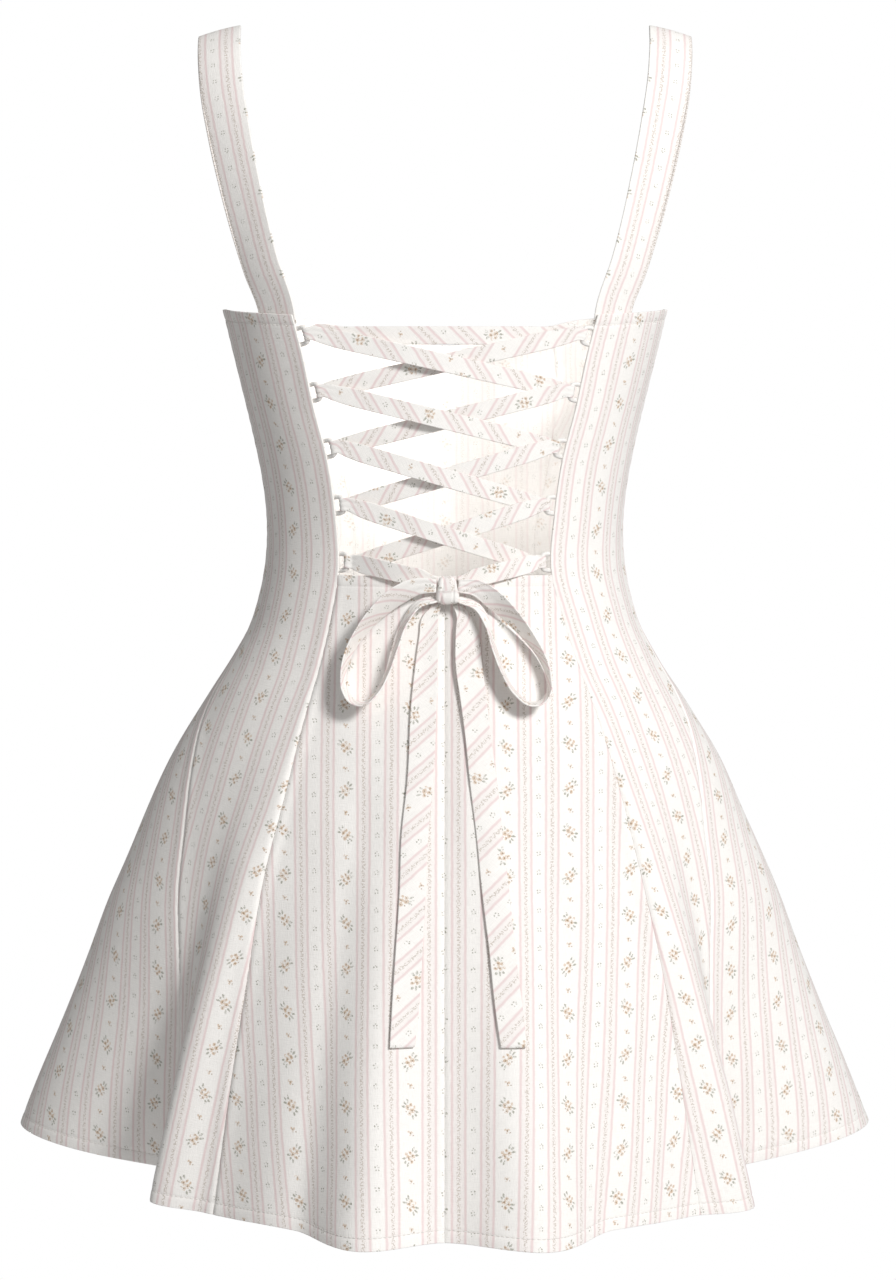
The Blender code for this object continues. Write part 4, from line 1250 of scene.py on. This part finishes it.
@dataclass
class Bow:
    """The bow at the foot of the lacing: knot, two loops and two hanging ends."""

    form: DressForm
    finishes: Finishes
    knot_across: float = 0.0017
    knot_height: float = -0.3878
    half: tuple[float, float, float] = (0.0071, 0.0056, 0.0097)
    clearance: float = 0.0006
    thickness: float = 0.0010
    tail_standoff: float = 0.0020
    loop_steps: int = 130
    tail_steps: int = 120
    left_loop: Table = (
        (-0.0059, -0.3850, 0.0, 0.0080, 0.0105), (-0.0174, -0.3850, 12.0, 0.0110, 0.0108),
        (-0.0315, -0.3912, 32.0, 0.0150, 0.0112), (-0.0449, -0.4022, 48.0, 0.0160, 0.0112),
        (-0.0569, -0.4162, 62.0, 0.0160, 0.0112), (-0.0649, -0.4303, 72.0, 0.0160, 0.0112),
        (-0.0682, -0.4438, 80.0, 0.0160, 0.0112), (-0.0668, -0.4550, 85.0, 0.0160, 0.0112),
        (-0.0607, -0.4616, 86.0, 0.0160, 0.0112), (-0.0541, -0.4623, 86.0, 0.0160, 0.0112),
        (-0.0454, -0.4550, 85.0, 0.0160, 0.0112), (-0.0381, -0.4418, 84.0, 0.0160, 0.0112),
        (-0.0328, -0.4259, 80.0, 0.0150, 0.0108), (-0.0265, -0.4090, 74.0, 0.0120, 0.0092),
        (-0.0170, -0.3968, 62.0, 0.0090, 0.0078), (-0.0059, -0.3938, 50.0, 0.0060, 0.0070),
    )
    right_loop: Table = (
        (0.0093, -0.3850, 0.0, 0.0080, 0.0105), (0.0208, -0.3862, 12.0, 0.0110, 0.0108),
        (0.0328, -0.3940, 32.0, 0.0150, 0.0112), (0.0455, -0.4062, 48.0, 0.0160, 0.0112),
        (0.0569, -0.4198, 62.0, 0.0160, 0.0112), (0.0649, -0.4319, 72.0, 0.0160, 0.0112),
        (0.0695, -0.4444, 80.0, 0.0160, 0.0112), (0.0695, -0.4550, 85.0, 0.0160, 0.0112),
        (0.0641, -0.4616, 86.0, 0.0160, 0.0112), (0.0561, -0.4623, 86.0, 0.0160, 0.0112),
        (0.0467, -0.4550, 85.0, 0.0160, 0.0112), (0.0388, -0.4418, 84.0, 0.0160, 0.0112),
        (0.0330, -0.4259, 80.0, 0.0150, 0.0108), (0.0288, -0.4107, 74.0, 0.0120, 0.0092),
        (0.0212, -0.3984, 62.0, 0.0090, 0.0078), (0.0093, -0.3938, 50.0, 0.0060, 0.0070),
    )
    left_tail: Table = (
        (-0.3980, -0.0075, -0.0020), (-0.4050, -0.0140, -0.0045), (-0.4195, -0.0168, -0.0047),
        (-0.4384, -0.0194, -0.0050), (-0.4624, -0.0220, -0.0057), (-0.5108, -0.0244, -0.0079),
        (-0.5463, -0.0282, -0.0112), (-0.5818, -0.0293, -0.0130), (-0.6164, -0.0316, -0.0149),
        (-0.6500, -0.0338, -0.0173), (-0.6738, -0.0351, -0.0198),
    )
    right_tail: Table = (
        (-0.3980, 0.0050, 0.0105), (-0.4050, 0.0078, 0.0165), (-0.4156, 0.0074, 0.0215),
        (-0.4384, 0.0073, 0.0245), (-0.4624, 0.0107, 0.0275), (-0.4860, 0.0139, 0.0302),
        (-0.5108, 0.0165, 0.0337), (-0.5463, 0.0210, 0.0375), (-0.5818, 0.0247, 0.0415),
        (-0.6164, 0.0291, 0.0448), (-0.6500, 0.0327, 0.0490), (-0.6738, 0.0362, 0.0517),
    )

    @property
    def centre(self) -> np.ndarray:
        """Middle of the knot, standing clear of the cloth behind it."""
        back = self.depth(self.knot_across, self.knot_height - self.half[2]) - self.clearance
        return np.array([self.knot_across, float(back) - self.half[1], self.knot_height])

    def depth(self, across: np.ndarray, height: np.ndarray) -> np.ndarray:
        """Y of the back's outer face."""
        return self.form.point(self.form.azimuth_at(across, height), height)[..., 1]

    def make_knot(self) -> None:
        """Build the knot: a band wrapped round the bow, creased along its turns.

        The band's place across is a cosine of the first angle and its radius the matching sine,
        both raised to a power under one, which squares the form. The second angle goes round.
        """
        across = np.linspace(0.0, np.pi, 41)[1:-1]
        around = np.linspace(0.0, 2 * np.pi, 65)[:-1]
        side = np.sign(np.cos(across)) * np.abs(np.cos(across)) ** 0.55
        swell = np.sin(across) ** 0.42
        depth = np.sign(np.cos(around)) * np.abs(np.cos(around)) ** 0.8
        rise = np.sign(np.sin(around)) * np.abs(np.sin(around)) ** 0.75
        taper = 1 - 0.13 * rise
        crease = np.zeros((len(across), len(around)))
        for spot, drift, deep in ((-0.48, 0.16, 0.10), (0.06, -0.12, 0.07), (0.56, 0.10, 0.10)):
            crease = crease + deep * bump_at(side[:, None], spot + drift * rise[None, :], 0.10)
        body = swell[:, None] * (1 - crease)
        grid = np.stack([
            side[:, None] * self.half[0] * taper[None, :],
            body * depth[None, :] * -self.half[1],
            body * rise[None, :] * self.half[2],
        ], axis=-1)
        rows, columns = grid.shape[:2]
        poles = np.array([[self.half[0], 0.0, 0.0], [-self.half[0], 0.0, 0.0]])
        points = np.concatenate([grid.reshape(-1, 3), poles]) + self.centre
        here = np.arange(columns)
        after = np.roll(here, -1)
        low = (np.arange(rows - 1) * columns)[:, None]
        quads = np.stack([here + low, here + low + columns, after + low + columns, after + low], axis=-1)
        count = rows * columns
        faces = quads.reshape(-1, 4).tolist()
        faces += np.stack([0 * here + count, here, after], axis=-1).tolist()
        last = count - columns
        faces += np.stack([0 * here + count + 1, after + last, here + last], axis=-1).tolist()
        turn = np.broadcast_to(around * self.half[2], (rows, columns))
        wide = np.broadcast_to(side[:, None] * self.half[0], (rows, columns))
        chart = np.stack([wide * 0.9 + turn * 0.2 + 0.0090, turn], axis=-1).reshape(-1, 2)
        charts = np.concatenate([chart, [[0.0, 0.0], [0.0, 0.0]]])
        knot = make_mesh("bow_knot_ribbon", points, faces, charts, [self.finishes.ribbon])
        place(knot, "ribbon", "bow_knot")

    def make_loop(self, side: Side, table: Table) -> None:
        """Build a loop of the bow, from the knot's front round to its back."""
        x, z, turn, width, standoff = np.array(table).T
        route = resample(np.stack([x, self.depth(x, z) - standoff, z, turn, width], axis=1), self.loop_steps)
        travel = unit(np.gradient(route[:, :3], axis=0))
        outer = unit(np.stack([travel[:, 2], 0 * travel[:, 0], -travel[:, 0]], axis=1)) * side.value
        turn = np.radians(route[:, 3])[:, None]
        across = outer * np.cos(turn) + np.array([0.0, 1.0, 0.0]) * np.sin(turn)
        rows = np.column_stack([route[:, :3], across, route[:, 4]])
        ribbon = Ribbon(rows, self.thickness, 15, 0.006 * side.value)
        name = f"bow_loop_{side.word}"
        piece = ribbon.make(name + "_ribbon", self.finishes.ribbon, 0.016)
        place(piece, "ribbon", name)
        ribbon.length
        LOG.info("%s %.0f mm long", name, ribbon.length * 1e3)

    def make_tail(self, side: Side, table: Table) -> None:
        """Build a hanging end of the lace, which lies on the back of the skirt."""
        heights = np.linspace(table[0][0], table[-1][0], self.tail_steps + 1)
        left, right = smooth_table(table, 1, heights), smooth_table(table, 2, heights)
        station = np.sin(np.linspace(-0.5, 0.5, 15) * np.pi * 0.94) / (2 * np.sin(np.pi * 0.47)) + 0.5
        across = left[:, None] + (right - left)[:, None] * station
        height = heights[:, None] + 0 * across
        azimuth = self.form.azimuth_at(across, height)
        share = (heights[0] - heights) / (heights[0] - heights[-1])
        lift = self.tail_standoff + 0.0004 * np.sin(share * 9.0)[:, None] * (2 * station - 1) ** 2
        grid = self.form.point(azimuth, height) + self.form.normal(azimuth, height) * lift[..., None]
        centre = grid[:, 7]
        along = arc_lengths(centre, 0)[:, None] + 0 * across
        wide = (station - 0.5)[None, :] * 0.016 + 0 * along
        cosine = math.sqrt(0.5)
        chart = np.stack([(along + wide) * cosine + 0.006 * side.value, (along - wide) * cosine], axis=-1)
        name = f"lace_tail_{side.word}"
        shell = Shell.of_sheet(grid, self.thickness, chart)
        piece = shell.make(name + "_ribbon", self.finishes.ribbon, self.finishes.ribbon)
        place(piece, "ribbon", name)
        LOG.info("%s %.0f mm long", name, along[-1, 0] * 1e3)

    def make(self) -> None:
        """Build the whole bow."""
        self.make_knot()
        self.make_loop(Side.LEFT, self.left_loop)
        self.make_loop(Side.RIGHT, self.right_loop)
        self.make_tail(Side.LEFT, self.left_tail)
        self.make_tail(Side.RIGHT, self.right_tail)


@dataclass(frozen=True)
class Studio:
    """White studio: soft lights, a pale floor far below the dress, and the camera."""

    camera_place: tuple[float, float, float] = (0.0021, -2.2, -0.26)
    lens: float = 87.89
    shift_down: float = 0.1875
    key_place: tuple[float, float, float] = (1.6, -2.5, 1.2)
    key_size: float = 0.7
    key_power: float = 94.0
    fill_place: tuple[float, float, float] = (-0.6, -3.2, 0.2)
    fill_size: float = 2.0
    fill_power: float = 5.0
    target: tuple[float, float, float] = (0.0, 0.0, -0.45)
    ambient: float = 0.31
    inner_place: tuple[float, float, float] = (0.0, -0.050, -0.29)
    inner_size: float = 0.12
    inner_power: float = 0.16
    floor_height: float = -1.25
    floor_radius: float = 1.0

    def make_camera(self) -> None:
        """Camera level with the bust, its frame shifted down to take in the hem."""
        data = bpy.data.cameras.new("photo_camera")
        data.lens = self.lens
        data.shift_y = -self.shift_down
        camera = bpy.data.objects.new("photo_camera", data)
        camera.location = self.camera_place
        camera.rotation_euler = (math.radians(90.0), 0.0, 0.0)
        bpy.context.scene.collection.objects.link(camera)
        bpy.context.scene.camera = camera

    def make_light(
        self, name: str, spot: tuple[float, ...], target: tuple[float, ...], size: float, power: float
    ) -> None:
        """Square soft light at a spot, which faces a target and isn't seen itself."""
        data = bpy.data.lights.new(name, "AREA")
        data.size = size
        data.energy = power
        light = bpy.data.objects.new(name, data)
        light.location = spot
        light.visible_camera = False
        facing = Vector(target) - Vector(spot)
        light.rotation_mode = "QUATERNION"
        light.rotation_quaternion = facing.to_track_quat("-Z", "Y")
        bpy.context.scene.collection.objects.link(light)

    def make_world(self) -> None:
        """White surroundings: full white where they are seen, and softer as light."""
        world = bpy.data.worlds.new("white_studio")
        world.use_nodes = True
        nodes, links = world.node_tree.nodes, world.node_tree.links
        background = nodes["Background"]
        background.inputs["Color"].default_value = (1.0, 1.0, 1.0, 1.0)
        path = nodes.new("ShaderNodeLightPath")
        strength = nodes.new("ShaderNodeMapRange")
        strength.inputs["To Min"].default_value = self.ambient
        strength.inputs["To Max"].default_value = 1.0
        links.new(path.outputs["Is Camera Ray"], strength.inputs["Value"])
        links.new(strength.outputs[0], background.inputs["Strength"])
        bpy.context.scene.world = world
        bpy.context.scene.view_settings.view_transform = "Standard"

    def make_floor(self) -> None:
        """Round pale floor under the dress, out of the photograph's view."""
        angle = np.linspace(0.0, 2 * np.pi, 97)[:-1]
        rim = np.stack([np.cos(angle), np.sin(angle)], axis=-1) * self.floor_radius
        points = np.column_stack([rim, np.full(len(rim), self.floor_height)])
        floor = make_mesh("floor", points, [list(range(len(rim)))], rim, [PaleFloor().material()])

    def make(self) -> None:
        """Build the studio."""
        self.make_camera()
        self.make_light("key_light", self.key_place, self.target, self.key_size, self.key_power)
        self.make_light("fill_light", self.fill_place, self.target, self.fill_size, self.fill_power)
        front = (0.0, 0.1, -0.30)
        self.make_light("inner_light", self.inner_place, front, self.inner_size, self.inner_power)
        self.make_world()
        self.make_floor()


def main() -> None:
    """Build the studio and every piece of the dress, in order."""
    logging.basicConfig(level=logging.INFO, format="%(message)s")
    Studio().make()
    form = DressForm()
    finishes = Finishes.make()
    bow = Bow(form, finishes)
    Panels(form, finishes).make()
    Straps(form, finishes).make()
    Lacing(form, finishes).make(bow)
    bow.make()


if __name__ == "__main__":
    main()
